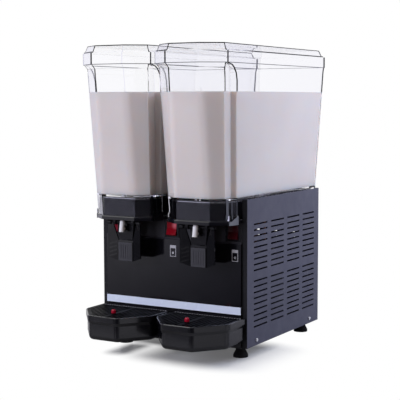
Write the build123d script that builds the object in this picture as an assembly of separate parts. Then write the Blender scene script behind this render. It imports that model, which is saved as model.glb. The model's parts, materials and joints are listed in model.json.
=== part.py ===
"""Twin-bowl cold drink dispenser: clear bowls on a refrigerated cabinet, with push taps and drip trays."""
from build123d import *
import math
import os

# Sizes are millimetres. X runs to the right seen from the front, Y runs back and Z runs up.
# The origin is on the floor, under the middle of the machine's box.

# Clearances
fit = 0.3
running_fit = 0.06
slide_fit = 0.5

# Bowl plan: a flat front, two facets, a narrow corner strip and straight sides.
# Widths are half widths, and distances ahead or behind are from the cabinet's front edge.
collar_half = 88.5
collar_centre = 40.0
collar_ahead = 115.5
collar_corner_ahead = 78.8
collar_bevel = 2.6
collar_step = 0.8
collar_rear_overhang = 37.0
bowl_gap = 10.0
bowl_wall = 4.0
tab_thickness = 2.5
tab_rise = 11.0
tab_drop = 10.0
tab_margin = 3.0
side_draft = 10.4
low_centre = 41.5
low_strip_run = 8.7
low_ahead = 73.8
low_end_ahead = 50.6
low_side_ahead = 17.3
low_rear_overhang = 5.0
high_centre = 37.5
high_strip_run = 8.9
high_ahead = 106.7
high_end_ahead = 74.2
high_side_ahead = 36.0
high_rear_overhang = 33.0

# Heights up the machine
foot_gap = 27.6
deck_thickness = 5.0
deck_bottom = 298.0
skirt_height = 42.5
strip_arch_rise = 36.0
flute_margin = 0.03
flute_share = 0.62
flute_depth = 0.155
bowl_height = 330.0
neck_height = 10.0
collar_height = 24.0

# Bowl floor, seal and outlet
ledge_thickness = 4.0
ledge_width = 16.0
gasket_thickness = 2.5
cold_plate_thickness = 1.5
plinth_wall = 3.0
outlet_back = 100.0
spigot_outer = 10.0
spigot_bore = 7.0
spigot_reach = 4.0

# Lid
lid_flange = 2.4
lid_height = 13.4
lid_inset_low = 5.0
lid_inset_high = 10.0
lid_wall = 2.5

# Cabinet
case_front_y = -132.0
case_depth = 367.0
case_top = 348.5
side_margin = 4.0
sheet = 1.2
panel_return = 12.0
pan_flange = 20.0
deck_rear_lip = 13.0
deck_rim = 8.3
deck_rim_width = 3.0
deck_rim_bevel = 1.8
vent_length = 64.0
vent_height = 3.6
vent_start = 30.8
vent_pitch_y = 82.2
vent_pitch_z = 12.5
vent_columns = 4
vent_rows = 9
vent_top_upper = 292.8
vent_top_lower = 169.4
rear_vent_columns = 3
rear_vent_rows = 10
rear_vent_top = 240.0
rear_vent_pitch_x = 96.0
screw_head = 4.0
screw_head_height = 2.2
screw_shank = 2.0
screw_length = 8.0
side_screw_inset = 44.0
side_screw_rear = 317.0
side_screw_z = 39.3
rear_screw_heights = (70.0, 270.0)

# Feet
foot_base = 16.5
foot_top = 11.0
foot_rim = 5.0
foot_inset = 34.8
foot_front = 36.0
foot_rear = 344.0

# Front panel, switches and strip
panel_proud = 5.0
panel_step = 3.0
panel_skin = 3.0
panel_depth = 16.0
ledge_z = 253.0
strip_z = 100.6
strip_height = 16.3
strip_thickness = 1.5
switch_inset = 19.5
switch_z = 276.8
switch_width = 37.0
switch_height = 38.0
switch_frame = 2.2
switch_bevel = 0.9
switch_body_depth = 24.0
switch_frame_lip = 1.7
switch_side_lip = 4.0
rocker_width = 24.0
rocker_half = 14.2
rocker_out = 5.0
rocker_pivot = 3.0
rocker_tilt = 10.0
trunnion = 2.0
trunnion_length = 1.4

# Tap and lever
nozzle_ahead = 60.8
nozzle_outer = 5.6
nozzle_bore = 4.2
nozzle_length = 26.0
nozzle_z = 283.0
nozzle_lean = 10.0
tap_ahead = 47.0
tap_depth = 30.0
tap_top_half = 22.0
tap_low_half = 18.0
tap_low_z = 252.0
tap_rake = 14.0
tap_chamber = 9.0
tap_seat_z = 284.0
port_z = 277.0
port_bore = 3.5
stem = 4.0
plunger_head = 8.0
plunger_head_height = 6.0
pivot_ahead = 50.5
pivot_z = 290.5
pin_radius = 2.5
pin_head = 3.6
pin_head_length = 1.4
ear_thickness = 5.0
ear_radius = 6.0
lever_half = 42.6
lever_arm = 8.6
lever_plate = 4.0
lever_sweep = 7.0
lever_low_z = 204.0
lever_wing_rise = 8.0
lever_notch_z = 250.0
lever_pad_half = 19.0
lever_pad_height = 42.0
lever_pad_proud = 2.2
lever_shelf_back = 22.0
lever_shelf_thickness = 3.0
lever_boss = 6.0
wing_rib_count = 4
wing_rib_pitch = 9.0
wing_rib = 2.6
pad_rib_count = 5
pad_rib_pitch = 6.0
pad_rib = 2.4
pad_rib_proud = 0.8

# Drip trays
tray_gap = 8.0
tray_centre = 37.5
tray_ahead = 140.8
tray_end_ahead = 76.0
tray_low_z = 39.5
tray_top_z = 94.0
tray_rim = 12.0
tray_rim_slope = 7.0
tray_rim_bevel = 1.2
tray_rim_proud = 3.0
tray_rim_wall = 2.5
tray_wall = 2.8
tray_fold = 18.0
tray_corner = 24.0
tray_edge = 10.0
grille_thickness = 2.8
grille_sink = 0.8
grille_slot = 5.0
grille_pitch = 9.4
grille_slots_each_side = 8
grille_border = 6.0
hook_width = 24.0
hook_thickness = 3.0
hook_reach = 9.0
hook_inset = 29.5
hook_z = 70.0
float_ahead = 96.0
float_rod = 2.4
float_disc = 16.0
float_disc_height = 14.0
float_tip = 5.2
float_tip_height = 9.6
float_tip_bevel = 2.6

# Cooling and stirring
drum_radius = 55.0
drum_wall = 1.5
drum_height = 70.0
drum_bevel = 9.0
drum_post = 4.0
drum_post_height = 20.0
drum_behind = 150.0
impeller_hub = 14.0
impeller_height = 17.0
impeller_radius = 48.0
impeller_blade = 3.0
impeller_blades = 4
motor_radius = 36.0
motor_height = 72.0
motor_chamfer = 5.0
motor_flange = 44.0
motor_flange_height = 4.0
drive_shaft = 3.0
drive_shaft_depth = 20.0
magnet_radius = 30.0
magnet_height = 12.0
magnet_gap = 8.0
compressor_x = 85.0
compressor_radius = 66.0
compressor_height = 160.0
compressor_dome = 40.0
compressor_plate = 3.0
compressor_plate_half = 72.0
mount_radius = 9.0
mount_height = 12.0
stub_height = 14.0
condenser_margin = 14.0
condenser_thickness = 50.0
condenser_start = 70.0
condenser_width = 230.0
condenser_headroom = 58.0
fin_count = 19
fin_thickness = 4.0
condenser_web = 6.0
shroud_sheet = 2.0
fan_radius = 78.0
fan_opening_gap = 5.0
fan_blades = 5
fan_hub = 22.0
fan_depth = 22.0
fan_stand_off = 12.0
fan_motor_radius = 30.0
fan_motor_length = 42.0
fan_bracket_width = 40.0
fan_bracket_sheet = 3.0
pipe_radius = 4.0
capillary_radius = 2.0
pipe_bend = 20.0
capillary_bend = 12.0
discharge_drop = 28.0
suction_drop = 22.0
liquid_drop = 36.0
discharge_offset = 40.0
suction_offset = 15.0
liquid_behind = 84.0
dryer_start = 106.0
dryer_length = 90.0
dryer_radius = 10.0
dryer_cap = 6.0
capillary_spread = 4.5
capillary_behind = 232.0
pipe_spacing = 30.0
suction_lead = 12.0
inlet_inset = 66.0
inlet_z = 75.0
inlet_width = 28.0
inlet_height = 22.0
inlet_depth = 18.0
inlet_lip = 3.0
inlet_wall = 2.5
inlet_blade = 2.0

# Places worked out from the sizes above
bowl_x = collar_half + bowl_gap / 2
case_half = bowl_x + collar_half + side_margin
inlet_x = case_half - inlet_inset
low_side = collar_half - side_draft
low_end = low_side - low_strip_run
high_end = collar_half - high_strip_run
case_back_y = case_front_y + case_depth
low_back = case_depth + low_rear_overhang
high_back = case_depth + high_rear_overhang
collar_back = case_depth + collar_rear_overhang
deck_top = deck_bottom + deck_thickness
rim_top = deck_bottom + deck_rim
skirt_z = rim_top + fit
plinth_top = skirt_z + skirt_height - gasket_thickness - cold_plate_thickness - fit
plate_top = plinth_top + cold_plate_thickness
gasket_top = plate_top + gasket_thickness
ledge_z0 = gasket_top + fit
ledge_z1 = ledge_z0 + ledge_thickness
collar_z = skirt_z + bowl_height
neck_z = collar_z - neck_height
arch_z = collar_z - strip_arch_rise
collar_top = collar_z + collar_height
lid_z = collar_top + fit
lid_top = lid_z + lid_flange + lid_height
panel_half = case_half - panel_return - slide_fit
switch_x = panel_half - switch_inset
tray_half = bowl_x - tray_gap / 2
hook_x = tray_half - hook_inset
panel_face_y = case_front_y - panel_proud
upper_face_y = panel_face_y + panel_step
pan_z = foot_gap + sheet
pan_top = pan_z + sheet
condenser_height = deck_bottom - condenser_headroom - pan_top
discharge_z = deck_bottom - discharge_drop
suction_z = deck_bottom - suction_drop
liquid_z = deck_bottom - liquid_drop
suction_behind = capillary_behind + pipe_spacing
compressor_behind = suction_behind - suction_lead
outlet_y = case_front_y - tap_ahead + tap_depth / 2
pivot_y = case_front_y - pivot_ahead
drum_y = case_front_y + drum_behind


def ahead(distance):
    """Y of a place this far in front of the cabinet's front edge."""
    return case_front_y - distance


def behind(distance):
    """Y of a place this far behind the cabinet's front edge."""
    return case_front_y + distance


def between(low, high, share):
    """Value a share of the way from low to high."""
    return low + (high - low) * share


def block(x0, x1, y0, y1, z0, z1):
    """Rectangular block between two corners."""
    middle = Pos((x0 + x1) / 2, (y0 + y1) / 2, (z0 + z1) / 2)
    return middle * Box(x1 - x0, y1 - y0, z1 - z0)


def upright(radius, z0, z1, x=0.0, y=0.0):
    """Vertical round bar."""
    return Pos(x, y, (z0 + z1) / 2) * Cylinder(radius, z1 - z0)


def crosswise(radius, x0, x1, y, z):
    """Round bar along X."""
    return Pos((x0 + x1) / 2, y, z) * Rot(0, 90, 0) * Cylinder(radius, x1 - x0)


def lengthwise(radius, y0, y1, x, z):
    """Round bar along Y."""
    return Pos(x, (y0 + y1) / 2, z) * Rot(90, 0, 0) * Cylinder(radius, y1 - y0)


def inset(points, distance):
    """Convex outline, listed anticlockwise, moved inward by a distance."""
    moved = []
    count = len(points)
    for i in range(count):
        before = points[i - 1]
        here = points[i]
        after = points[(i + 1) % count]
        lines = []
        for a, b in ((before, here), (here, after)):
            length = math.hypot(b[0] - a[0], b[1] - a[1])
            normal = ((a[1] - b[1]) / length, (b[0] - a[0]) / length)
            lines.append((normal, normal[0] * here[0] + normal[1] * here[1] + distance))
        (n1, d1), (n2, d2) = lines
        det = n1[0] * n2[1] - n1[1] * n2[0]
        moved.append(((d1 * n2[1] - d2 * n1[1]) / det, (n1[0] * d2 - n2[0] * d1) / det))
    return moved


def outline(points, z=0.0):
    """Flat face of an outline at a height."""
    return Pos(0, 0, z) * make_face(Polyline(*points, close=True))


def prism(points, z0, z1):
    """Outline carried straight up from one height to another."""
    return extrude(outline(points, z0), amount=z1 - z0)


def bay(centre, front, end, end_y, side, side_y, back_y):
    """Bay-fronted plan: flat front, facets, corner strips, sides and back."""
    return [
        (-centre, front), (centre, front), (end, end_y), (side, side_y),
        (side, back_y), (-side, back_y), (-side, side_y), (-end, end_y),
    ]


def bowl_plan(z):
    """Outside of the bowl at a height: a drafted body, a flared neck and a straight collar."""
    rise = min((z - skirt_z) / (neck_z - skirt_z), 1.0)
    flare = min(max((z - neck_z) / neck_height, 0.0), 1.0)
    arch = min(max((z - arch_z) / strip_arch_rise, 0.0), 1.0)
    corner = collar_half - collar_bevel
    centre = between(between(low_centre, high_centre, rise), collar_centre, flare)
    front = between(between(low_ahead, high_ahead, rise), collar_ahead, flare)
    end = between(between(low_end, high_end, rise), corner, flare)
    end_ahead = between(between(low_end_ahead, high_end_ahead, rise), collar_corner_ahead, flare)
    side = between(low_side, collar_half, rise)
    strip_end = collar_corner_ahead - collar_bevel
    strip_start = between(low_side_ahead, high_side_ahead, rise)
    side_ahead = between(strip_end, strip_start, math.sqrt(1 - arch * arch))
    back = between(between(low_back, high_back, rise), collar_back, flare)
    return bay(centre, ahead(front), end, ahead(end_ahead), side, ahead(side_ahead), behind(back))


def bowl_levels(z0, z1):
    """Heights that a loft of the bowl needs between two levels."""
    turning = [arch_z + strip_arch_rise * share for share in (0.0, 0.42)]
    turning += [neck_z, neck_z + neck_height * 0.6, collar_z]
    return [z0] + [z for z in turning if z0 < z < z1] + [z1]


def bowl_body(z0, z1, depth=0.0):
    """Solid of the bowl's outside, or of a shell inside it, between two heights."""
    sections = []
    for z in bowl_levels(z0, z1):
        points = inset(bowl_plan(z), depth) if depth else bowl_plan(z)
        sections.append(outline(points, z))
    return loft(sections, ruled=True)


def flute_plan(z, side):
    """Hollow in a corner strip of the bowl at a height: two faces that meet in a crease, open outward."""
    plan = bowl_plan(z)
    near = Vector(side * plan[2][0], plan[2][1])
    far = Vector(side * plan[3][0], plan[3][1])
    along = far - near
    inward = Vector(-side * along.Y, side * along.X)
    crease = near + along * flute_share + inward * flute_depth
    open_near = near + along * flute_margin
    open_far = far - along * flute_margin
    points = [open_near * 1.3 - crease * 0.3, crease, open_far * 1.3 - crease * 0.3]
    return [(point.X, point.Y) for point in points[::-side]]


def flute(side, depth=0.0):
    """Solid of the hollow in a corner strip, or of the hollow and the wall behind it."""
    sections = []
    for z in bowl_levels(ledge_z1, collar_z):
        sections.append(outline(inset(flute_plan(z, side), -depth) if depth else flute_plan(z, side), z))
    return loft(sections, ruled=True)


def floor_opening(depth):
    """Hole in the bowl's floor that the cold plate closes, clear of the outlet at the front."""
    points = inset(bowl_plan(ledge_z0), bowl_wall + depth)
    front_limit = outlet_y + spigot_outer + depth
    keep = Rectangle(4 * collar_half, 4 * case_depth)
    return make_face(Polyline(*points, close=True)) & (Pos(0, front_limit + 2 * case_depth) * keep)


def at_height(face, z0, z1):
    """Flat face carried straight up from one height to another."""
    return extrude(Pos(0, 0, z0) * face, amount=z1 - z0)


def make_bowl():
    """Clear bowl: drafted shell, stepped collar, floor ledge, skirt over the plinth and outlet spigot."""
    shell = bowl_body(skirt_z, collar_top)
    shell += prism(inset(bowl_plan(collar_top), -collar_step), collar_z, collar_top)
    hollow = bowl_body(ledge_z1, collar_top, bowl_wall)
    for side in (-1, 1):
        shell -= flute(side)
        hollow -= flute(side, bowl_wall)
    shell -= hollow
    shell -= bowl_body(skirt_z, ledge_z0, bowl_wall)
    shell -= at_height(floor_opening(ledge_width), ledge_z0, ledge_z1)
    for side in (-1, 1):
        shell += corner_tab(side)
    spigot_low = deck_bottom + fit
    shell += upright(spigot_outer, spigot_low, ledge_z1, 0, outlet_y)
    return shell - upright(spigot_bore, spigot_low, ledge_z1, 0, outlet_y)


def corner_tab(side):
    """Clear tab on a corner strip of the skirt that hangs down over the deck's lip."""
    plan = bowl_plan(skirt_z)
    near = Vector(side * plan[2][0], plan[2][1])
    far = Vector(side * plan[3][0], plan[3][1])
    along = (far - near).normalized()
    outward = Vector(side * abs(along.Y), -abs(along.X))
    gap = deck_rim_width + fit
    strip = []
    for step, reach in ((near + along * tab_margin, gap), (far - along * tab_margin, gap)):
        strip.append((step, step + outward * reach, step + outward * (reach + tab_thickness)))
    (near_in, near_gap, near_out), (far_in, far_gap, far_out) = strip
    inward = outward * (-bowl_wall / 2)
    top = [near_in + inward, near_out, far_out, far_in + inward]
    hang = [near_gap, near_out, far_out, far_gap]
    bridge = prism([(v.X, v.Y) for v in top], skirt_z, skirt_z + tab_rise)
    return bridge + prism([(v.X, v.Y) for v in hang], skirt_z - tab_drop, skirt_z)


def lid_plan(depth):
    """Collar's plan with sharp corners, moved inward."""
    points = [
        (-collar_centre, ahead(collar_ahead)), (collar_centre, ahead(collar_ahead)),
        (collar_half, ahead(collar_corner_ahead)), (collar_half, behind(collar_back)),
        (-collar_half, behind(collar_back)), (-collar_half, ahead(collar_corner_ahead)),
    ]
    return inset(points, depth)


def make_lid():
    """Clear lid: flange on the collar and a hollow cap with sloping sides."""
    cap_z = lid_z + lid_flange
    hollow_top = lid_top - lid_wall
    lid = prism(lid_plan(collar_bevel), lid_z, cap_z)
    cap_low = outline(lid_plan(lid_inset_low), cap_z)
    cap_high = outline(lid_plan(lid_inset_high), lid_top)
    lid += loft([cap_low, cap_high], ruled=True)
    hollow_low = outline(lid_plan(lid_inset_low + lid_wall), lid_z)
    hollow_high = outline(lid_plan(lid_inset_high + lid_wall), hollow_top)
    return lid - loft([hollow_low, hollow_high], ruled=True)


def plinth_plan(depth=0.0):
    """Outside of the plinth, which the bowl's skirt slides down over."""
    return inset(bowl_plan(skirt_z), bowl_wall + slide_fit + depth)


def pipe_holes(radius_gap, z0, z1):
    """Clearance holes for the capillary and the suction pipe below one cold plate."""
    holes = upright(capillary_radius + radius_gap, z0, z1, 0, behind(capillary_behind))
    return holes + upright(pipe_radius + radius_gap, z0, z1, 0, behind(suction_behind))


def make_plinth():
    """Black platform under a bowl: a hollow box open below, with holes for the drum, outlet and pipes."""
    plinth = prism(plinth_plan(), deck_top, plinth_top)
    plinth -= prism(plinth_plan(plinth_wall), deck_top, plinth_top - plinth_wall)
    plinth -= upright(drum_radius - drum_wall, deck_top, plinth_top, 0, drum_y)
    plinth -= upright(spigot_outer + slide_fit, deck_top, plinth_top, 0, outlet_y)
    return plinth - pipe_holes(slide_fit, deck_top, plinth_top)


def make_cold_plate():
    """Stainless plate with a raised hollow drum that chills the drink, and the impeller's post."""
    plate = prism(plinth_plan(plinth_wall), plinth_top, plate_top)
    drum_top = plate_top + drum_height
    drum = upright(drum_radius, plate_top, drum_top, 0, drum_y)
    drum = chamfer(drum.edges().group_by(Axis.Z)[-1], drum_bevel)
    plate += drum
    hollow = upright(drum_radius - drum_wall, plinth_top, drum_top - drum_wall, 0, drum_y)
    plate -= chamfer(hollow.edges().group_by(Axis.Z)[-1], drum_bevel)
    plate += upright(drum_post, drum_top, drum_top + drum_post_height, 0, drum_y)
    return plate - upright(spigot_outer + slide_fit, plinth_top, plate_top, 0, outlet_y)


def make_gasket():
    """Flat seal between the cold plate and the bowl's floor ledge."""
    ring = prism(plinth_plan(plinth_wall), plate_top, gasket_top)
    ring -= at_height(floor_opening(ledge_width), plate_top, gasket_top)
    return ring - upright(spigot_outer + slide_fit, plate_top, gasket_top, 0, outlet_y)


def make_mixer_motor():
    """Stirrer motor standing on the deck inside the drum."""
    motor = upright(motor_flange, deck_top, deck_top + motor_flange_height, 0, drum_y)
    can = upright(motor_radius, deck_top + motor_flange_height, deck_top + motor_height, 0, drum_y)
    can = chamfer(can.edges().group_by(Axis.Z)[-1], motor_chamfer)
    motor += can
    bore_low = deck_top + motor_height - drive_shaft_depth
    return motor - upright(drive_shaft + running_fit, bore_low, deck_top + motor_height, 0, drum_y)


def make_drive_magnet():
    """Magnet disc on the motor's shaft, just under the drum's top."""
    motor_top = deck_top + motor_height
    disc_low = motor_top + magnet_gap
    shaft = upright(drive_shaft, motor_top - drive_shaft_depth + fit, disc_low, 0, drum_y)
    return shaft + upright(magnet_radius, disc_low, disc_low + magnet_height, 0, drum_y)


def make_impeller():
    """Stirring paddle wheel that turns on the drum's post."""
    low = plate_top + drum_height + fit
    hub = upright(impeller_hub, low, low + impeller_height, 0, drum_y)
    blade = block(0, impeller_radius, -impeller_blade / 2, impeller_blade / 2, low, low + impeller_height)
    for i in range(impeller_blades):
        hub += Pos(0, drum_y, 0) * Rot(0, 0, 360 / impeller_blades * i) * blade
    return hub - upright(drum_post + running_fit, low, low + impeller_height, 0, drum_y)


def make_tap_body():
    """Valve block under the deck: raked underside, plunger bore, port to the nozzle and pivot ears."""
    back_y = ahead(tap_ahead) + tap_depth
    face = [
        (-tap_low_half, tap_low_z), (tap_low_half, tap_low_z),
        (tap_top_half, deck_bottom), (-tap_top_half, deck_bottom),
    ]
    body = extrude(Plane.XZ * make_face(Polyline(*face, close=True)), amount=-tap_depth)
    body = Pos(0, ahead(tap_ahead), 0) * body
    rake = [(ahead(tap_ahead), tap_low_z), (back_y, tap_low_z), (back_y, tap_low_z + tap_rake)]
    body -= extrude(Plane.YZ * make_face(Polyline(*rake, close=True)), amount=tap_top_half, both=True)
    ear_x = tap_top_half + ear_thickness
    ears = crosswise(ear_radius, -ear_x, ear_x, pivot_y, pivot_z)
    ears += block(-ear_x, ear_x, pivot_y - ear_radius, ahead(tap_ahead) + ear_radius, pivot_z, deck_bottom)
    middle_half = tap_top_half - 1
    ears_front = pivot_y - 2 * ear_radius
    ears -= block(-middle_half, middle_half, ears_front, ahead(tap_ahead), tap_low_z, deck_bottom)
    body += ears
    body -= upright(tap_chamber, tap_seat_z, deck_bottom, 0, outlet_y)
    body -= upright(spigot_bore, port_z - port_bore, tap_seat_z, 0, outlet_y)
    body -= upright(stem + running_fit, tap_low_z, tap_seat_z, 0, outlet_y)
    body -= lengthwise(port_bore, ahead(tap_ahead), outlet_y, 0, port_z)
    return body - crosswise(pin_radius, -ear_x, ear_x, pivot_y, pivot_z)


def make_nozzle():
    """White outlet elbow: a short neck out of the valve block and a spout that leans forward."""
    spout_y = ahead(nozzle_ahead)
    lean = Pos(0, spout_y, nozzle_z) * Rot(-nozzle_lean, 0, 0)
    spout = Cylinder(nozzle_outer, nozzle_length)
    spout = lean * chamfer(spout.edges().group_by(Axis.Z)[-1], nozzle_outer / 3)
    spout += lengthwise(nozzle_outer - 0.5, spout_y, ahead(tap_ahead), 0, port_z)
    spout -= lean * upright(nozzle_bore, -nozzle_length / 2, port_z + port_bore - nozzle_z)
    return spout - lengthwise(port_bore, spout_y, ahead(tap_ahead), 0, port_z)


def make_plunger():
    """Valve plunger: a stem lifted by the lever's shelf and a head on the valve seat."""
    head_low = tap_seat_z + fit
    rod = upright(stem, lever_notch_z + fit, head_low, 0, outlet_y)
    return rod + upright(plunger_head, head_low, head_low + plunger_head_height, 0, outlet_y)


def make_lever():
    """Push lever: arms to the pivot, a notch round the nozzle, swept ribbed wings and a raised pad."""
    pad_y = ahead(tap_ahead)
    tip_y = pad_y - lever_sweep
    wing_top = pivot_z + lever_boss
    half = lever_half
    inner = lever_pad_half
    plan = [
        (-half, tip_y), (-inner, pad_y), (inner, pad_y), (half, tip_y),
        (half, tip_y + lever_plate), (inner, pad_y + lever_plate),
        (-inner, pad_y + lever_plate), (-half, tip_y + lever_plate),
    ]
    plate = prism(plan, lever_low_z, wing_top)
    arm_inner = half - lever_arm
    notch = [(-inner, lever_notch_z), (inner, lever_notch_z), (arm_inner, wing_top), (-arm_inner, wing_top)]
    reach = lever_sweep + 2 * lever_plate
    notch_face = Plane.XZ * make_face(Polyline(*notch, close=True))
    plate -= Pos(0, pad_y, 0) * extrude(notch_face, amount=reach, both=True)
    for side in (-1, 1):
        tip_z = lever_low_z + lever_wing_rise
        corner = [(side * inner, lever_low_z), (side * half, lever_low_z), (side * half, tip_z)]
        cut = extrude(Plane.XZ * make_face(Polyline(*corner, close=True)), amount=reach, both=True)
        plate -= Pos(0, pad_y, 0) * cut
        sweep_angle = math.degrees(math.atan2(lever_sweep, half - inner))
        rib = Box(half - inner - 2 * wing_rib, lever_plate, wing_rib)
        for i in range(wing_rib_count):
            rib_z = tip_z + wing_rib_pitch * (i + 0.5)
            place = Pos(side * (half + inner) / 2, (pad_y + tip_y + lever_plate) / 2 - pad_rib_proud, rib_z)
            plate += place * Rot(0, side * 18, -side * sweep_angle) * rib
        boss_x = sorted((side * arm_inner, side * half))
        plate += crosswise(lever_boss, *boss_x, pivot_y, pivot_z)
    pad_top = lever_low_z + lever_pad_height
    plate += block(-inner, inner, pad_y - lever_pad_proud, pad_y, lever_low_z, pad_top)
    for i in range(pad_rib_count):
        rib_x = (i - (pad_rib_count - 1) / 2) * pad_rib_pitch
        rib_low = lever_low_z + pad_rib_pitch
        rib_high = pad_top - pad_rib_pitch
        rib_y = pad_y - lever_pad_proud - pad_rib_proud
        plate += block(rib_x - pad_rib / 2, rib_x + pad_rib / 2, rib_y, pad_y, rib_low, rib_high)
    shelf_half = inner - lever_plate
    shelf_low = lever_notch_z - lever_shelf_thickness
    plate += block(-shelf_half, shelf_half, pad_y, ahead(lever_shelf_back), shelf_low, lever_notch_z)
    return plate - crosswise(pin_radius + running_fit, -half, half, pivot_y, pivot_z)


def make_lever_pin():
    """Steel pivot pin through the block's ears and the lever's arms, headed at both ends."""
    end = lever_half + fit
    pin = crosswise(pin_radius, -end, end, pivot_y, pivot_z)
    for side in (-1, 1):
        head_x = sorted((side * end, side * (end + pin_head_length)))
        pin += crosswise(pin_head, *head_x, pivot_y, pivot_z)
    return pin


def tray_plan(depth=0.0):
    """Plan of a drip tray: bay front like the bowl's, straight sides and a flat back."""
    back = panel_face_y - fit
    front = ahead(tray_ahead)
    end = ahead(tray_end_ahead)
    points = [
        (-tray_centre, front), (tray_centre, front), (tray_half, end),
        (tray_half, back), (-tray_half, back), (-tray_half, end),
    ]
    return inset(points, depth) if depth else points


def tray_face(depth):
    """Tray plan moved inward, with its two front folds and its two front corners rounded."""
    face = make_face(Polyline(*tray_plan(depth), close=True))
    face = fillet(face.vertices().sort_by(Axis.Y)[2:4], tray_corner - depth)
    return fillet(face.vertices().sort_by(Axis.Y)[:2], tray_fold - depth)


def make_tray():
    """Drip tray: rounded tub that flares to a rim band, grille seat and two hooks into the front panel."""
    rim_z = tray_top_z - tray_rim
    flare_z = rim_z - tray_rim_slope
    tub = at_height(tray_face(tray_rim_proud), tray_low_z, flare_z)
    tub = fillet(tub.edges().group_by(Axis.Z)[0], tray_edge)
    flare_low = Pos(0, 0, flare_z) * tray_face(tray_rim_proud)
    flare_high = Pos(0, 0, rim_z) * tray_face(0.0)
    tub += loft([flare_low, flare_high], ruled=True)
    band = at_height(tray_face(0.0), rim_z, tray_top_z)
    tub += chamfer(band.edges().group_by(Axis.Z)[-1], tray_rim_bevel)
    pocket = at_height(tray_face(tray_rim_proud + tray_wall), tray_low_z + tray_wall, tray_top_z)
    tub -= fillet(pocket.edges().group_by(Axis.Z)[0], tray_edge - tray_wall)
    seat_z = tray_top_z - grille_sink - grille_thickness - fit
    tub -= at_height(tray_face(tray_rim_wall), seat_z, tray_top_z)
    for side in (-1, 1):
        x = side * hook_x
        root_y = panel_face_y - fit - tray_rim_proud - tray_wall / 2
        tip_y = panel_face_y + hook_reach
        tub += block(x - hook_width / 2, x + hook_width / 2, root_y, tip_y, hook_z, hook_z + hook_thickness)
    return tub


def tray_front(x, depth):
    """Y of the tray plan's front, moved inward, at a place across the tray."""
    points = tray_plan(depth)
    if abs(x) <= points[1][0]:
        return points[1][1]
    share = (abs(x) - points[1][0]) / (points[2][0] - points[1][0])
    return between(points[1][1], points[2][1], share)


def make_grille():
    """Lift-out grille: long slots on both sides of a plain middle bar with the float's hole."""
    top = tray_top_z - grille_sink
    low = top - grille_thickness
    plate = at_height(tray_face(tray_rim_wall + fit), low, top)
    border = tray_rim_wall + fit + grille_border
    back = panel_face_y - fit - border
    for i in range(1, grille_slots_each_side + 1):
        for x in (-i * grille_pitch, i * grille_pitch):
            front = tray_front(abs(x) + grille_slot / 2, border)
            plate -= block(x - grille_slot / 2, x + grille_slot / 2, front, back, low, top)
    return plate - upright(float_tip + slide_fit, low, top, 0, ahead(float_ahead))


def make_float():
    """Full-tray float: a buoyant disc on the tray's floor, a rod and a red tip above the grille."""
    low = tray_low_z + tray_wall + fit
    y = ahead(float_ahead)
    disc = upright(float_disc, low, low + float_disc_height, 0, y)
    rod = upright(float_rod, low + float_disc_height, tray_top_z, 0, y)
    tip = upright(float_tip, tray_top_z - grille_sink - grille_thickness, tray_top_z + float_tip_height, 0, y)
    tip = chamfer(tip.edges().group_by(Axis.Z)[-1], float_tip_bevel)
    return disc + rod + tip


def vent_slots(x0, x1, rows_top):
    """One group of ventilation slots through a side panel."""
    slots = []
    for column in range(vent_columns):
        y0 = behind(vent_start + column * vent_pitch_y)
        for row in range(vent_rows):
            z = rows_top - row * vent_pitch_z
            slots.append(block(x0, x1, y0, y0 + vent_length, z - vent_height / 2, z + vent_height / 2))
    return slots


def make_side_panel(side):
    """Folded side panel with front, rear and bottom returns and two groups of vents."""
    outer = case_half
    inner = case_half - sheet
    edge = case_half - panel_return
    front = case_front_y
    back = case_back_y
    section = [
        (edge, front), (outer, front), (outer, back), (edge, back),
        (edge, back - sheet), (inner, back - sheet), (inner, front + sheet), (edge, front + sheet),
    ]
    panel = prism(section, foot_gap, case_top)
    panel += block(edge, inner, front + sheet, back - sheet, foot_gap, foot_gap + sheet)
    panel -= vent_slots(inner, outer, vent_top_upper)
    panel -= vent_slots(inner, outer, vent_top_lower)
    for y in (behind(side_screw_inset), behind(side_screw_rear)):
        panel -= crosswise(screw_shank + fit, inner, outer, y, side_screw_z)
    for z in rear_screw_heights:
        panel -= lengthwise(screw_shank + fit, back - sheet, back, (edge + inner) / 2, z)
    return panel if side > 0 else mirror(panel, about=Plane.YZ)


def make_base_pan():
    """Base pan: a sheet floor on the side panels' bottom returns, with turned-up edges."""
    half = case_half - sheet - fit
    front = panel_face_y + panel_depth + fit
    back = case_back_y - 2 * sheet - fit
    pan = block(-half, half, front, back, pan_z, pan_z + pan_flange)
    pan -= block(-half + sheet, half - sheet, front + sheet, back - sheet, pan_top, pan_z + pan_flange)
    for side in (-1, 1):
        for y in (behind(side_screw_inset), behind(side_screw_rear)):
            x0 = min(side * half, side * (half - sheet))
            pan -= crosswise(screw_shank + fit, x0, x0 + sheet, y, side_screw_z)
    return pan


def make_feet():
    """Four rubber feet: a broad rim on the floor tapering up to the base pan."""
    neck = pan_z * 0.55
    profile = [(0, 0), (foot_base, 0), (foot_base, foot_rim), (foot_top, neck), (foot_top, pan_z), (0, pan_z)]
    foot = revolve(Plane.XZ * make_face(Polyline(*profile, close=True)), axis=Axis.Z)
    x = case_half - foot_inset
    return [Pos(side * x, behind(y), 0) * foot for side in (-1, 1) for y in (foot_front, foot_rear)]


def switch_places():
    """X of the left, middle and right switches."""
    return (-switch_x, 0.0, switch_x)


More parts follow.
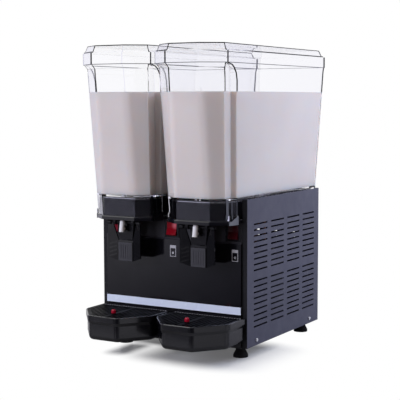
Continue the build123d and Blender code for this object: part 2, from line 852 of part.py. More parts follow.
def make_front_panel():
    """Glossy front moulding: a shallow box with a stepped face, switch openings and tray hook slots."""
    back = panel_face_y + panel_depth
    face = [
        (panel_face_y, foot_gap), (back, foot_gap), (back, deck_bottom), (upper_face_y, deck_bottom),
        (upper_face_y, ledge_z + panel_step), (panel_face_y, ledge_z),
    ]
    hollow = [
        (panel_face_y + panel_skin, foot_gap + panel_skin), (back, foot_gap + panel_skin),
        (back, deck_bottom - panel_skin), (upper_face_y + panel_skin, deck_bottom - panel_skin),
        (upper_face_y + panel_skin, ledge_z + panel_step), (panel_face_y + panel_skin, ledge_z),
    ]
    panel = extrude(Plane.YZ * make_face(Polyline(*face, close=True)), amount=panel_half, both=True)
    hollow_face = Plane.YZ * make_face(Polyline(*hollow, close=True))
    panel -= extrude(hollow_face, amount=panel_half - panel_skin, both=True)
    open_half_x = switch_width / 2 - switch_side_lip + fit
    open_half_z = switch_height / 2 - switch_frame_lip + fit
    open_z = (switch_z - open_half_z, switch_z + open_half_z)
    for x in switch_places():
        panel -= block(x - open_half_x, x + open_half_x, upper_face_y, back, *open_z)
    for x in (-bowl_x - hook_x, -bowl_x + hook_x, bowl_x - hook_x, bowl_x + hook_x):
        half = hook_width / 2 + slide_fit
        slot_z = (hook_z - slide_fit, hook_z + hook_thickness + slide_fit)
        panel -= block(x - half, x + half, panel_face_y, back, *slot_z)
    return panel


def make_strip():
    """Plain pale strip across the front panel."""
    front = panel_face_y - strip_thickness
    return block(-panel_half, panel_half, front, panel_face_y, strip_z, strip_z + strip_height)


def make_switch_housing():
    """Rocker switch housing: a frame on the panel and a body behind it with a round pocket."""
    half_x = switch_width / 2
    half_z = switch_height / 2
    body_x = half_x - switch_side_lip
    body_z = half_z - switch_frame_lip
    y = upper_face_y
    frame = block(-half_x, half_x, y - switch_frame, y, switch_z - half_z, switch_z + half_z)
    housing = chamfer(frame.edges().group_by(Axis.Y)[0], switch_bevel)
    housing += block(-body_x, body_x, y, y + switch_body_depth, switch_z - body_z, switch_z + body_z)
    pocket_x = rocker_width / 2 + fit
    housing -= crosswise(rocker_radius() + fit, -pocket_x, pocket_x, y + rocker_pivot, switch_z)
    bore_x = pocket_x + trunnion_length
    return housing - crosswise(trunnion + running_fit, -bore_x, bore_x, y + rocker_pivot, switch_z)


def rocker_end():
    """How far a rocker's ends stand out from its pivot when level."""
    return rocker_out + rocker_half * math.tan(math.radians(rocker_tilt))


def rocker_radius():
    """Radius that a rocker's ends sweep."""
    return math.hypot(rocker_half, rocker_end())


def make_rocker():
    """Red rocker: two faces at an angle in front and a round back, on trunnions, with its top pressed in."""
    out = rocker_end()
    top = (-out, rocker_half)
    low = (-out, -rocker_half)
    line = Polyline(top, (-rocker_out, 0), low)
    arc = ThreePointArc(low, (rocker_radius(), 0), top)
    rocker = extrude(Plane.YZ * make_face([line, arc]), amount=rocker_width / 2, both=True)
    reach = rocker_width / 2 + trunnion_length
    rocker += crosswise(trunnion, -reach, reach, 0, 0)
    return Pos(0, upper_face_y + rocker_pivot, switch_z) * Rot(-rocker_tilt, 0, 0) * rocker


def make_rear_panel():
    """Rear sheet inside the side panels' returns, with vents, the inlet's opening and screw holes."""
    half = case_half - sheet - fit
    y1 = case_back_y - sheet
    y0 = y1 - sheet
    panel = block(-half, half, y0, y1, pan_z, deck_bottom)
    slots = []
    for column in range(rear_vent_columns):
        x = (column - (rear_vent_columns - 1) / 2) * rear_vent_pitch_x
        for row in range(rear_vent_rows):
            z = rear_vent_top - row * vent_pitch_z
            slot = Box(vent_length, sheet, vent_height)
            slots.append(Pos(x, (y0 + y1) / 2, z) * slot)
    panel -= slots
    hole_x = inlet_width / 2 + fit
    hole_z = inlet_height / 2 + fit
    panel -= block(inlet_x - hole_x, inlet_x + hole_x, y0, y1, inlet_z - hole_z, inlet_z + hole_z)
    for side in (-1, 1):
        for z in rear_screw_heights:
            panel -= lengthwise(screw_shank + fit, y0, y1, side * rear_screw_x(), z)
    return panel


def rear_screw_x():
    """X of the rear screws, in the middle of the side panels' rear returns."""
    return case_half - (panel_return + sheet) / 2


def make_inlet():
    """Mains inlet socket in the rear panel, with three blades in its recess."""
    back = case_back_y - sheet
    half_x = inlet_width / 2
    half_z = inlet_height / 2
    flange = Box(inlet_width + 2 * inlet_lip, inlet_lip, inlet_height + 2 * inlet_lip)
    shell = Pos(0, back + inlet_lip / 2, 0) * flange
    shell += block(-half_x, half_x, back - inlet_depth, back, -half_z, half_z)
    recess_x = half_x - inlet_wall
    recess_z = half_z - inlet_wall
    floor_y = back - inlet_depth + inlet_wall
    shell -= block(-recess_x, recess_x, floor_y, back + inlet_lip, -recess_z, recess_z)
    for i in (-1, 0, 1):
        x = i * recess_x / 2
        z = inlet_blade if i == 0 else -inlet_blade
        blade = Box(inlet_blade, back - floor_y, 2 * inlet_blade)
        shell += Pos(x, (back + floor_y) / 2, z) * blade
    return Pos(inlet_x, 0, inlet_z) * shell


def make_screws():
    """Case screws: two low on each side and two on each rear return."""
    screw = extrude(RegularPolygon(screw_head, 6), amount=screw_head_height)
    screw += Pos(0, 0, -screw_length / 2) * Cylinder(screw_shank, screw_length)
    screws = []
    for side in (-1, 1):
        for y in (behind(side_screw_inset), behind(side_screw_rear)):
            screws.append(Pos(side * case_half, y, side_screw_z) * Rot(0, side * 90, 0) * screw)
        for z in rear_screw_heights:
            screws.append(Pos(side * rear_screw_x(), case_back_y, z) * Rot(-90, 0, 0) * screw)
    return screws


def make_deck():
    """Deck moulding: a plate between the side panels with two bay-shaped front lips under the bowls."""
    half = case_half - sheet - fit
    rear_half = case_half - panel_return - fit
    return_y = case_back_y - sheet - fit
    deck = block(-half, half, case_front_y + sheet + fit, return_y, deck_bottom, deck_top)
    deck += block(-rear_half, rear_half, return_y, case_back_y + deck_rear_lip, deck_bottom, deck_top)
    for x in (-bowl_x, bowl_x):
        plan = inset(bowl_plan(skirt_z), -deck_rim_width)
        floor = inset(plan, deck_rim_width + bowl_wall)
        lip = prism(plan, deck_bottom, rim_top)
        lip = chamfer(lip.edges().group_by(Axis.Z)[-1], deck_rim_bevel) - prism(floor, deck_top, rim_top)
        far_front = ahead(2 * low_ahead)
        front_only = block(-case_half, case_half, far_front, case_front_y - fit, deck_bottom, rim_top)
        bridge = prism(floor, deck_bottom, deck_top)
        bridge &= block(-case_half, case_half, ahead(low_ahead), behind(pan_flange), deck_bottom, deck_top)
        deck += Pos(x, 0, 0) * ((lip & front_only) + bridge)
        deck -= Pos(x, 0, 0) * upright(spigot_outer + slide_fit, deck_bottom, deck_top, 0, outlet_y)
        deck -= Pos(x, 0, 0) * pipe_holes(slide_fit, deck_bottom, deck_top)
    return deck


def compressor_z():
    """Underside of the compressor's pot."""
    return pan_top + mount_height + compressor_plate


def compressor_top():
    """Top of the compressor's pipe stubs."""
    return compressor_z() + compressor_height + stub_height


def compressor_stubs():
    """Places of the pipe stubs on the compressor: discharge first, then the two suction stubs."""
    y = behind(compressor_behind)
    suction_y = behind(suction_behind)
    discharge_x = compressor_x - discharge_offset
    suction_x = compressor_x - suction_offset
    return ((discharge_x, y), (suction_x, suction_y), (bowl_x, suction_y))


def make_compressor():
    """Hermetic compressor: domed pot on a foot plate, with three pipe stubs."""
    z = compressor_z()
    y = behind(compressor_behind)
    pot = upright(compressor_radius, z, z + compressor_height, compressor_x, y)
    pot = chamfer(pot.edges().group_by(Axis.Z)[-1], compressor_dome, compressor_dome / 2)
    half = compressor_plate_half
    pot += block(compressor_x - half, compressor_x + half, y - half, y + half, z - compressor_plate, z)
    for stub_x, stub_y in compressor_stubs():
        pot += upright(pipe_radius + sheet, z + compressor_height / 2, compressor_top(), stub_x, stub_y)
    return pot


def make_mounts():
    """Four rubber mounts between the base pan and the compressor's foot plate."""
    reach = compressor_plate_half - mount_radius
    mount = upright(mount_radius, pan_top, pan_top + mount_height, compressor_x, behind(compressor_behind))
    return [Pos(dx, dy, 0) * mount for dx in (-reach, reach) for dy in (-reach, reach)]


def condenser_x():
    """X of the condenser's outer and inner faces."""
    outer = -case_half + condenser_margin
    return outer, outer + condenser_thickness


def make_condenser():
    """Finned condenser core: a web with upright fins on both sides, between end plates."""
    x0, x1 = condenser_x()
    y0 = behind(condenser_start)
    y1 = y0 + condenser_width
    middle = (x0 + x1) / 2
    cap = pan_top + condenser_height
    core = block(middle - condenser_web / 2, middle + condenser_web / 2, y0, y1, pan_top, cap)
    pitch = (condenser_width - fin_thickness) / (fin_count - 1)
    for i in range(fin_count):
        y = y0 + i * pitch
        core += block(x0, x1, y, y + fin_thickness, pan_top, cap)
    return core + block(x0, x1, y0, y1, cap - fin_thickness, cap)


def fan_centre():
    """Y and Z of the fan's axis, in the middle of the condenser."""
    return behind(condenser_start + condenser_width / 2), pan_top + condenser_height / 2


def make_shroud():
    """Fan shroud: a plate on the condenser's inner face with a round opening."""
    x0 = condenser_x()[1]
    y, z = fan_centre()
    half = condenser_width / 2
    plate = block(x0, x0 + shroud_sheet, y - half, y + half, pan_top, pan_top + condenser_height)
    return plate - crosswise(fan_radius + fan_opening_gap, x0, x0 + shroud_sheet, y, z)


def fan_x():
    """X of the fan's front and of its motor's face."""
    front = condenser_x()[1] + shroud_sheet + fan_stand_off
    return front, front + fan_depth + fit


def make_fan():
    """Condenser fan: hub with pitched blades, and its shaft into the motor."""
    front, motor_face = fan_x()
    y, z = fan_centre()
    hub = crosswise(fan_hub, front, front + fan_depth, 0, 0)
    blade = Pos(front + fan_depth / 2, 0, (fan_hub + fan_radius) / 2) * Rot(0, 0, 35)
    blade *= Box(fan_depth, sheet * 2, fan_radius - fan_hub + fan_hub)
    for i in range(fan_blades):
        hub += Rot(360 / fan_blades * i, 0, 0) * blade
    sweep = crosswise(fan_radius, front, front + fan_depth, 0, 0)
    shaft = crosswise(drive_shaft, front, motor_face + drive_shaft_depth - fit, 0, 0)
    return Pos(0, y, z) * ((hub & sweep) + shaft)


def make_fan_motor():
    """Fan motor on an upright bracket from the base pan."""
    face = fan_x()[1]
    y, z = fan_centre()
    end = face + fan_motor_length
    motor = crosswise(fan_motor_radius, face, end, y, z)
    half = fan_bracket_width / 2
    bracket_x = end - fan_bracket_sheet
    motor += block(bracket_x, end, y - half, y + half, pan_top, z)
    motor += block(bracket_x, end + half, y - half, y + half, pan_top, pan_top + fan_bracket_sheet)
    return motor - crosswise(drive_shaft + running_fit, face, face + drive_shaft_depth, y, z)


def pipe(points, radius, bend):
    """Round pipe along straight runs with rounded corners."""
    path = FilletPolyline(*points, radius=bend)
    section = Plane(origin=path @ 0, z_dir=path % 0) * Circle(radius)
    return sweep(section, path=path)


def make_discharge_pipe():
    """Hot gas pipe from the compressor over to the condenser's top."""
    x0, x1 = condenser_x()
    sx, sy = compressor_stubs()[0]
    cx = (x0 + x1) / 2
    cap = pan_top + condenser_height
    points = [(sx, sy, compressor_top()), (sx, sy, discharge_z), (cx, sy, discharge_z), (cx, sy, cap)]
    return pipe(points, pipe_radius, pipe_bend)


def make_liquid_line():
    """Liquid pipe from the condenser's top to the filter dryer."""
    x0, x1 = condenser_x()
    cx = (x0 + x1) / 2
    y = behind(liquid_behind)
    cap = pan_top + condenser_height
    points = [(cx, y, cap), (cx, y, liquid_z), (0, y, liquid_z), (0, behind(dryer_start), liquid_z)]
    return pipe(points, pipe_radius, capillary_bend)


def make_dryer():
    """Filter dryer: a copper capsule in line between the liquid pipe and the capillaries."""
    y0 = behind(dryer_start)
    y1 = y0 + dryer_length
    capsule = lengthwise(dryer_radius, y0, y1, 0, liquid_z)
    return chamfer(capsule.edges().group_by(Axis.Y)[0] + capsule.edges().group_by(Axis.Y)[-1], dryer_cap / 2)


def make_capillaries():
    """Capillary tubes from the dryer to the undersides of the two cold plates."""
    tubes = []
    y0 = behind(dryer_start) + dryer_length
    y1 = behind(capillary_behind)
    for side in (-1, 1):
        near = side * capillary_spread
        far = side * bowl_x
        points = [(near, y0, liquid_z), (near, y1, liquid_z), (far, y1, liquid_z), (far, y1, plinth_top)]
        tubes.append(pipe(points, capillary_radius, capillary_bend))
    return tubes


def make_suction_pipes():
    """Return pipes from the two cold plates down to the compressor."""
    y = behind(suction_behind)
    joint_x = compressor_stubs()[1][0]
    points = [
        (-bowl_x, y, plinth_top), (-bowl_x, y, suction_z),
        (joint_x, y, suction_z), (joint_x, y, compressor_top()),
    ]
    straight = upright(pipe_radius, compressor_top(), plinth_top, bowl_x, y)
    return [pipe(points, pipe_radius, pipe_bend), straight]


def save(name, shape):
    """Write one piece, or a group of separate pieces, to its own file."""
    if isinstance(shape, list):
        shape = Compound(children=[Part() + piece for piece in shape])
    export_step(shape, f"parts/{name}.step")


os.makedirs("parts", exist_ok=True)

# Pieces that each bowl has, made once and set under the left and the right bowl
bowl_pieces = {
    "bowl": make_bowl(),
    "lid": make_lid(),
    "plinth": make_plinth(),
    "cold_plate": make_cold_plate(),
    "bowl_gasket": make_gasket(),
    "mixer_motor": make_mixer_motor(),
    "drive_magnet": make_drive_magnet(),
    "impeller": make_impeller(),
    "tap_body": make_tap_body(),
    "tap_nozzle": make_nozzle(),
    "tap_plunger": make_plunger(),
    "tap_lever": make_lever(),
    "lever_pin": make_lever_pin(),
    "drip_tray": make_tray(),
    "tray_grille": make_grille(),
    "tray_float": make_float(),
}
for piece_name, piece in bowl_pieces.items():
    for side_name, side in (("left", -1), ("right", 1)):
        save(f"{piece_name}_{side_name}", Pos(side * bowl_x, 0, 0) * piece)

# Cabinet
save("side_panel_left", make_side_panel(-1))
save("side_panel_right", make_side_panel(1))
save("base_pan", make_base_pan())
save("rubber_feet", make_feet())
save("front_panel", make_front_panel())
save("rear_panel", make_rear_panel())
save("deck", make_deck())
save("label_strip", make_strip())
save("power_inlet", make_inlet())
save("case_screws", make_screws())

# Switches
save("switch_housings", [Pos(x, 0, 0) * make_switch_housing() for x in switch_places()])
for rocker_name, rocker_x in zip(("left", "middle", "right"), switch_places()):
    save(f"rocker_{rocker_name}", Pos(rocker_x, 0, 0) * make_rocker())

# Refrigeration
save("compressor", make_compressor())
save("compressor_mounts", make_mounts())
save("condenser", make_condenser())
save("fan_shroud", make_shroud())
save("fan_blades", make_fan())
save("fan_motor", make_fan_motor())
save("discharge_pipe", make_discharge_pipe())
save("liquid_line", make_liquid_line())
save("filter_dryer", make_dryer())
save("capillary_tubes", make_capillaries())
save("suction_pipes", make_suction_pipes())
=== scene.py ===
"""Looks for the twin-bowl cold drink dispenser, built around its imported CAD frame."""
import json
import math

import bmesh
import bpy
from mathutils import Matrix, Vector


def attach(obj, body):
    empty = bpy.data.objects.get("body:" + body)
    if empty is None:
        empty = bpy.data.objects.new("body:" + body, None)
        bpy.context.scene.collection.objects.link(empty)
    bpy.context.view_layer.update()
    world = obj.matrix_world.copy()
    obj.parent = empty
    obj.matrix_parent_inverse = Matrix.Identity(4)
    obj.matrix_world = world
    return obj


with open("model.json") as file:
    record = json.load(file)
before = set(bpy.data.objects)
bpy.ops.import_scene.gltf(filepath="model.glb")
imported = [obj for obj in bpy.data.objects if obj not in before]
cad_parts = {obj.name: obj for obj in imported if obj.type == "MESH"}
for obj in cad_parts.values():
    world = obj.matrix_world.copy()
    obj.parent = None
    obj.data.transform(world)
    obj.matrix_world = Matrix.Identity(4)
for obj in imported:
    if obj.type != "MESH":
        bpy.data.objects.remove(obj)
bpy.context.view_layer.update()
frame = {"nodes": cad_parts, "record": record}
nodes = frame["nodes"]

# Places and sizes in metres, as in the part's source
FRONT_Y = -0.132
BOWL_X = 0.0935
SKIRT_Z = 0.3066
NECK_Z = 0.6266
WALL = 0.004
DRUM_Y = FRONT_Y + 0.150
PANEL_Y = -0.137
PAD_Y = -0.1812
SWITCH_X = 0.154
GRILLE_TOP = 0.0932

# Bowl plan at the skirt and at the neck: half widths, and distances ahead of or behind the case's front
CENTRE = (0.0415, 0.0375)
FRONT_AHEAD = (0.0738, 0.1067)
END = (0.0694, 0.0796)
END_AHEAD = (0.0506, 0.0742)
SIDE = (0.0781, 0.0885)
SIDE_AHEAD = (0.0173, 0.0360)
BACK_BEHIND = (0.3720, 0.4000)
# Flute in a corner strip: place along the strip and depth, as shares of the strip
FLUTE = ((0.03, 0.0), (0.62, 0.155), (0.97, 0.0))

# The drink reaches a little into the bowl's wall, so that no gap shows
DRINK_OVERLAP = 0.0006
DRINK_LOW = 0.3534
DRINK_TOP = 0.5770
DRINK_LEVELS = (0, 0.25, 0.5, 0.75, 1)
# Extra points beside a corner of its plan: how far off they lie, and at most what share of a side
CORNER_REACH = 0.012
CORNER_SHARE = 0.48
# Hollow for the drum
HOLLOW_RADIUS = 0.0565
HOLLOW_TOP = 0.4395
HOLLOW_SIDES = 48

# Grey plate on a lever's pad, lighter than the lever: the plate, and the ribs that stand out of it
PAD_HALF = 0.0176
PAD_OUT = 0.0004
PAD_IN = 0.0012
PAD_HEIGHTS = (0.2046, 0.2454)
GRIP_COUNT = 5
GRIP_PITCH = 0.006
GRIP_HALF = 0.0015
GRIP_OUT = 0.0013
GRIP_HEIGHTS = (0.2094, 0.2406)
PAD_BEVEL = 0.0003

# Printed signs: half width, heights, line width, filled top, depth, and the mark's height and radii
SIGN_HALF = 0.0075
SIGN_LOW = 0.2152
SIGN_HIGH = 0.2405
SIGN_LINE = 0.0013
SIGN_CAP = SIGN_HIGH - 0.0065
SIGN_DEPTH = (PANEL_Y - 0.00015, PANEL_Y + 0.0002)
SIGN_MARK_Z = 0.2236
SIGN_POINTS = 12
SIGN_RADII = {"dot": (0.0026, 0.0026), "star": (0.0042, 0.0014)}
SIGNS = ((-SWITCH_X + 0.005, "star"), (0.0037, "dot"), (SWITCH_X + 0.005, "star"))

# Painted highlight and painted shade strips along the edges of a flute low on the bowl: run along the strip
# and height of each point, and each strip's width
FLUTE_EDGES = (
    (((0.0006, 0.3095), (0.0006, 0.3520)), 0.0064),
    (((0.0140, 0.3095), (0.0166, 0.3180), (0.0166, 0.3520)), 0.0018),
    (((0.0296, 0.3110), (0.0322, 0.3190), (0.0326, 0.3520)), 0.0014),
)
EDGE_THICKNESS = 0.0006
# Place on the strip where the way out of it is taken
STRIP_MIDDLE = (0.017, 0.32)
# Face of the tab under a flute, where a plate sits, painted highlight on the outer corners and painted shade
# on the inner ones: run and height of each corner, and how far it stands out of the strip
TAB_FACE = (
    (0.0032, 0.2968), (0.0312, 0.2968), (0.0312, 0.3150),
    (0.0200, 0.3104), (0.0110, 0.3052), (0.0032, 0.3048),
)
TAB_OUT = 0.0057

# Dark band under a bowl's collar, painted shade along the collar's step: half plan from the case's front, and
# its section as ways out and heights
COLLAR_Z = 0.6366
COLLAR_PLAN = ((0.0400, -0.1155), (0.0859, -0.0788), (0.0885, -0.0762), (0.0885, 0.404))
BAND_SECTION = ((0.0005, 0.0), (0.0005, -0.0013), (-0.0012, -0.0013), (-0.0012, 0.0))

# Pale ribs along the back edge of a drip grille: painted highlights where the slot ends catch light
RIB_REACH = 13
RIB_PITCH = 0.0062
RIB_OUTLINE = ((-0.0014, -0.1434), (0.0014, -0.1434), (0.0011, -0.1406), (-0.0011, -0.1406))
RIB_SINK = 0.0002
RIB_HEIGHT = 0.0008

# Dark sheet behind the rear vents, painted shade for the inside of the case: its strips' ends, heights, place
# and thickness
VENT_SHADE_STRIPS = ((-0.150, 0.020), (0.029, 0.068), (0.077, 0.116), (0.125, 0.150))
VENT_SHADE_HEIGHTS = (0.116, 0.252)
VENT_SHADE_Y = 0.2312
VENT_SHADE_THICKNESS = 0.0010

# Middle rocker's painted highlight: its place, and the distances where it starts and is full
HIGHLIGHT_SPOT = (0.0080, -0.142, 0.2845)
HIGHLIGHT_REACH = (0.012, 0.003)

# Where a colour changes: heights on a float (painted shade below) and on the front panel (lighter upper face,
# partly painted reflection), and places along a nozzle
FLOAT_SHADE_CHANGE = (0.0963, 0.0947)
PANEL_CHANGE = (0.2525, 0.2535)
NOZZLE_CHANGE = (-0.1885, -0.1865)
# Forward part of a normal, below which a face counts as facing the front
FACES_FRONT = -0.7

# Scales of the slow drift in colour and in roughness
COLOUR_PATCH = 14.0
ROUGH_PATCH = COLOUR_PATCH * 2.3
# Places of a mix node's sockets: two numbers and their result, two colours and theirs
MIX_NUMBERS = (2, 3)
MIX_NUMBER = 0
MIX_COLOURS = (6, 7)
MIX_COLOUR = 2


def hand(side):
    """Name of a side, from -1 or 1."""
    return "left" if side < 0 else "right"


def between(low, high, share):
    """Value a share of the way from low to high."""
    return low + (high - low) * share


def new_material(name):
    """Empty node material with a Principled shader wired to its output."""
    material = bpy.data.materials.new(name)
    material.use_nodes = True
    tree = material.node_tree
    return material, tree, tree.nodes["Principled BSDF"]


def node(tree, kind, **values):
    """Adds a node and sets its plain properties and input values."""
    made = tree.nodes.new(kind)
    for key, value in values.items():
        if hasattr(made, key):
            setattr(made, key, value)
        else:
            made.inputs[key].default_value = value
    return made


def calculate(tree, operation, *values):
    """Result of a maths node on its values, each a socket or a plain number."""
    made = node(tree, "ShaderNodeMath", operation=operation)
    for place, value in enumerate(values):
        if isinstance(value, float):
            made.inputs[place].default_value = value
        else:
            tree.links.new(value, made.inputs[place])
    return made.outputs[0]


def ramp(tree, value, low, high, start=0.3, end=0.7, shape="LINEAR"):
    """Maps a value from the range between start and end to the range between low and high."""
    span = node(tree, "ShaderNodeMapRange", interpolation_type=shape)
    span.inputs["From Min"].default_value = start
    span.inputs["From Max"].default_value = end
    span.inputs["To Min"].default_value = low
    span.inputs["To Max"].default_value = high
    tree.links.new(value, span.inputs["Value"])
    return span.outputs["Result"]


def mixed(tree, share, first, second):
    """Colour mixed from a first to a second by a share; each is a socket or a plain colour."""
    mix = node(tree, "ShaderNodeMix", data_type="RGBA")
    tree.links.new(share, mix.inputs["Factor"])
    for place, value in zip(MIX_COLOURS, (first, second)):
        if isinstance(value, tuple):
            mix.inputs[place].default_value = (*value, 1.0)
        else:
            tree.links.new(value, mix.inputs[place])
    return mix.outputs[MIX_COLOUR]


def blended(tree, share, first, second):
    """Shader blended from a first to a second by a share, wired to the material's output."""
    mix = node(tree, "ShaderNodeMixShader")
    tree.links.new(share, mix.inputs["Fac"])
    tree.links.new(first, mix.inputs[1])
    tree.links.new(second, mix.inputs[2])
    tree.links.new(mix.outputs["Shader"], tree.nodes["Material Output"].inputs["Surface"])


def spots(tree):
    """Places in the part's frame."""
    return node(tree, "ShaderNodeTexCoord").outputs["Object"]


def axis_of(tree, vector, axis):
    """One axis of a vector."""
    parts = node(tree, "ShaderNodeSeparateXYZ")
    tree.links.new(vector, parts.inputs["Vector"])
    return parts.outputs[axis]


def noise(tree, scale, detail=3.0, rough=0.5, stretch=None):
    """Noise on object coordinates, stretched along an axis if asked."""
    source = spots(tree)
    if stretch:
        mapping = node(tree, "ShaderNodeMapping")
        mapping.inputs["Scale"].default_value = stretch
        tree.links.new(source, mapping.inputs["Vector"])
        source = mapping.outputs["Vector"]
    texture = node(tree, "ShaderNodeTexNoise", Scale=scale, Detail=detail, Roughness=rough)
    tree.links.new(source, texture.inputs["Vector"])
    return texture.outputs["Fac"]


def tint(tree, value, dark, light):
    """Blends two colours by a noise value."""
    return mixed(tree, ramp(tree, value, 0.0, 1.0), dark, light)


def bump(tree, shader, value, strength, distance):
    """Wires a bump from a value into the shader's normal."""
    made = node(tree, "ShaderNodeBump", Strength=strength, Distance=distance)
    tree.links.new(value, made.inputs["Height"])
    tree.links.new(made.outputs["Normal"], shader.inputs["Normal"])


def solid(name, dark, light, rough, grain, depth, strength=0.3, spec=0.5, metal=0.0, stretch=None):
    """Opaque material: colour drifting between two tones, uneven roughness and a fine bump."""
    material, tree, shader = new_material(name)
    drift = noise(tree, COLOUR_PATCH, 4.0, 0.6, stretch)
    tree.links.new(tint(tree, drift, dark, light), shader.inputs["Base Color"])
    wear = noise(tree, ROUGH_PATCH, 5.0, 0.6, stretch)
    tree.links.new(ramp(tree, wear, *rough), shader.inputs["Roughness"])
    bump(tree, shader, noise(tree, grain, 2.0, 0.5, stretch), strength, depth)
    shader.inputs["Specular IOR Level"].default_value = spec
    shader.inputs["Metallic"].default_value = metal
    return material


def clear(name, colour, rough, ior):
    """Clear plastic that lets lamps through to what is inside."""
    material, tree, shader = new_material(name)
    shader.inputs["Base Color"].default_value = (*colour, 1.0)
    shader.inputs["Transmission Weight"].default_value = 1.0
    shader.inputs["Specular Tint"].default_value = (0.13, 0.13, 0.14, 1.0)
    shader.inputs["IOR"].default_value = ior
    tree.links.new(ramp(tree, noise(tree, 30.0, 4.0), *rough), shader.inputs["Roughness"])
    bump(tree, shader, noise(tree, 22.0, 2.0), 0.05, 0.0006)
    path = node(tree, "ShaderNodeLightPath")
    see = node(tree, "ShaderNodeBsdfTransparent")
    see.inputs["Color"].default_value = (0.95, 0.95, 0.965, 1.0)
    blended(tree, path.outputs["Is Shadow Ray"], shader.outputs["BSDF"], see.outputs["BSDF"])
    return material


def repaint(material, share, colour):
    """Turns a material's colour to another one by a share."""
    tree = material.node_tree
    base = tree.nodes["Principled BSDF"].inputs["Base Color"]
    tree.links.new(mixed(tree, share, base.links[0].from_socket, colour), base)


def painted_highlight_spot(material):
    """Painted highlight: brightens the middle rocker in pinkish red towards its upper right, standing in for
    its sheen and the glow of the lamp behind it.
    """
    tree = material.node_tree
    away = node(tree, "ShaderNodeVectorMath", operation="DISTANCE")
    tree.links.new(spots(tree), away.inputs[0])
    away.inputs[1].default_value = HIGHLIGHT_SPOT
    near = ramp(tree, away.outputs["Value"], 0.0, 1.0, *HIGHLIGHT_REACH, "SMOOTHSTEP")
    repaint(material, near, (0.70, 0.17, 0.21))
    return material


def split(material, axis, change, colour, rough=None):
    """Turns the colour to another one, and the roughness if asked, between two places on an axis."""
    tree = material.node_tree
    past = ramp(tree, axis_of(tree, spots(tree), axis), 0.0, 1.0, *change)
    repaint(material, past, colour)
    if rough:
        roughness = tree.nodes["Principled BSDF"].inputs["Roughness"]
        dull = node(tree, "ShaderNodeMix", data_type="FLOAT")
        tree.links.new(past, dull.inputs["Factor"])
        own, other = (dull.inputs[place] for place in MIX_NUMBERS)
        tree.links.new(roughness.links[0].from_socket, own)
        other.default_value = rough
        tree.links.new(dull.outputs[MIX_NUMBER], roughness)
    return material


def painted_shade_front(material):
    """Painted shade: turns what faces the front black, standing in for the shade on the front returns of the
    side panels.
    """
    tree = material.node_tree
    facing = node(tree, "ShaderNodeNewGeometry")
    front = calculate(tree, "LESS_THAN", axis_of(tree, facing.outputs["True Normal"], "Y"), FACES_FRONT)
    repaint(material, front, (0.006, 0.006, 0.008))
    return material


# Finishes by the record's slots: two tones, roughness, grain of the bump, its depth and its strength
MATERIALS = {
    "clear_plastic": clear("clear_plastic", (0.991, 0.991, 1.0), (0.0, 0.02), 1.49),
    "gloss_black": solid(
        "gloss_black", (0.0040, 0.0038, 0.0054), (0.0052, 0.0050, 0.0070), (0.07, 0.16), 900.0,
        0.00002, 0.12),
    "satin_black": solid(
        "satin_black", (0.0042, 0.0041, 0.0056), (0.0060, 0.0058, 0.0080), (0.18, 0.28), 2600.0, 0.00003, 0.2,
        spec=0.3),
    "grey_paint": solid(
        "grey_paint", (0.050, 0.052, 0.078), (0.062, 0.064, 0.094), (0.40, 0.55), 1500.0, 0.00012, 0.55),
    # Galvanised steel kept dark grey: painted shade for the parts inside the case, seen through the vents
    "galvanised": solid(
        "galvanised", (0.10, 0.10, 0.105), (0.15, 0.15, 0.155), (0.40, 0.60), 300.0, 0.00004, 0.2, metal=0.7),
    "black_rubber": solid(
        "black_rubber", (0.006, 0.006, 0.007), (0.010, 0.010, 0.011), (0.55, 0.75), 1800.0, 0.0001, 0.4,
        spec=0.25),
    "seal_rubber": solid(
        "seal_rubber", (0.035, 0.035, 0.038), (0.055, 0.055, 0.058), (0.5, 0.7), 1800.0, 0.0001, 0.4),
    "stainless": solid(
        "stainless", (0.50, 0.50, 0.52), (0.66, 0.66, 0.67), (0.18, 0.34), 500.0, 0.00003, 0.25, metal=1.0,
        stretch=(1, 12, 1)),
    "black_steel": solid(
        "black_steel", (0.008, 0.008, 0.010), (0.014, 0.014, 0.016), (0.35, 0.5), 900.0, 0.00003, 0.2,
        spec=0.3),
    "white_plastic": solid(
        "white_plastic", (0.82, 0.82, 0.84), (0.88, 0.88, 0.89), (0.22, 0.34), 1200.0, 0.00004, 0.2),
    "red_plastic": solid(
        "red_plastic", (0.030, 0.002, 0.004), (0.050, 0.003, 0.006), (0.16, 0.28), 900.0, 0.00003, 0.15,
        spec=0.4),
    # Middle rocker: red lamp cover with a painted highlight at its upper right
    "red_lamp": painted_highlight_spot(solid(
        "red_lamp", (0.20, 0.0030, 0.009), (0.26, 0.0045, 0.013), (0.14, 0.24), 900.0, 0.00003, 0.15,
        spec=0.1)),
    "pale_strip": solid(
        "pale_strip", (0.70, 0.77, 0.93), (0.75, 0.825, 0.97), (0.18, 0.30), 800.0, 0.00002, 0.1),
    "motor_can": solid(
        "motor_can", (0.16, 0.16, 0.17), (0.22, 0.22, 0.23), (0.35, 0.5), 900.0, 0.00005, 0.3, metal=0.6),
    "magnet": solid(
        "magnet", (0.06, 0.06, 0.065), (0.09, 0.09, 0.095), (0.5, 0.7), 900.0, 0.00008, 0.4),
    "compressor_paint": solid(
        "compressor_paint", (0.012, 0.012, 0.013), (0.020, 0.020, 0.021), (0.3, 0.45), 700.0, 0.00006, 0.3),
    # Aluminium fins kept dark grey: painted shade for the condenser inside the case, seen through the vents
    "aluminium_fin": solid(
        "aluminium_fin", (0.16, 0.16, 0.17), (0.24, 0.24, 0.25), (0.35, 0.5), 600.0, 0.00004, 0.2, metal=0.8),
    "fan_plastic": solid(
        "fan_plastic", (0.02, 0.02, 0.022), (0.032, 0.032, 0.034), (0.4, 0.55), 1500.0, 0.00005, 0.3),
    "copper": solid(
        "copper", (0.35, 0.16, 0.09), (0.46, 0.22, 0.14), (0.30, 0.45), 600.0, 0.00003, 0.2, metal=1.0),
}
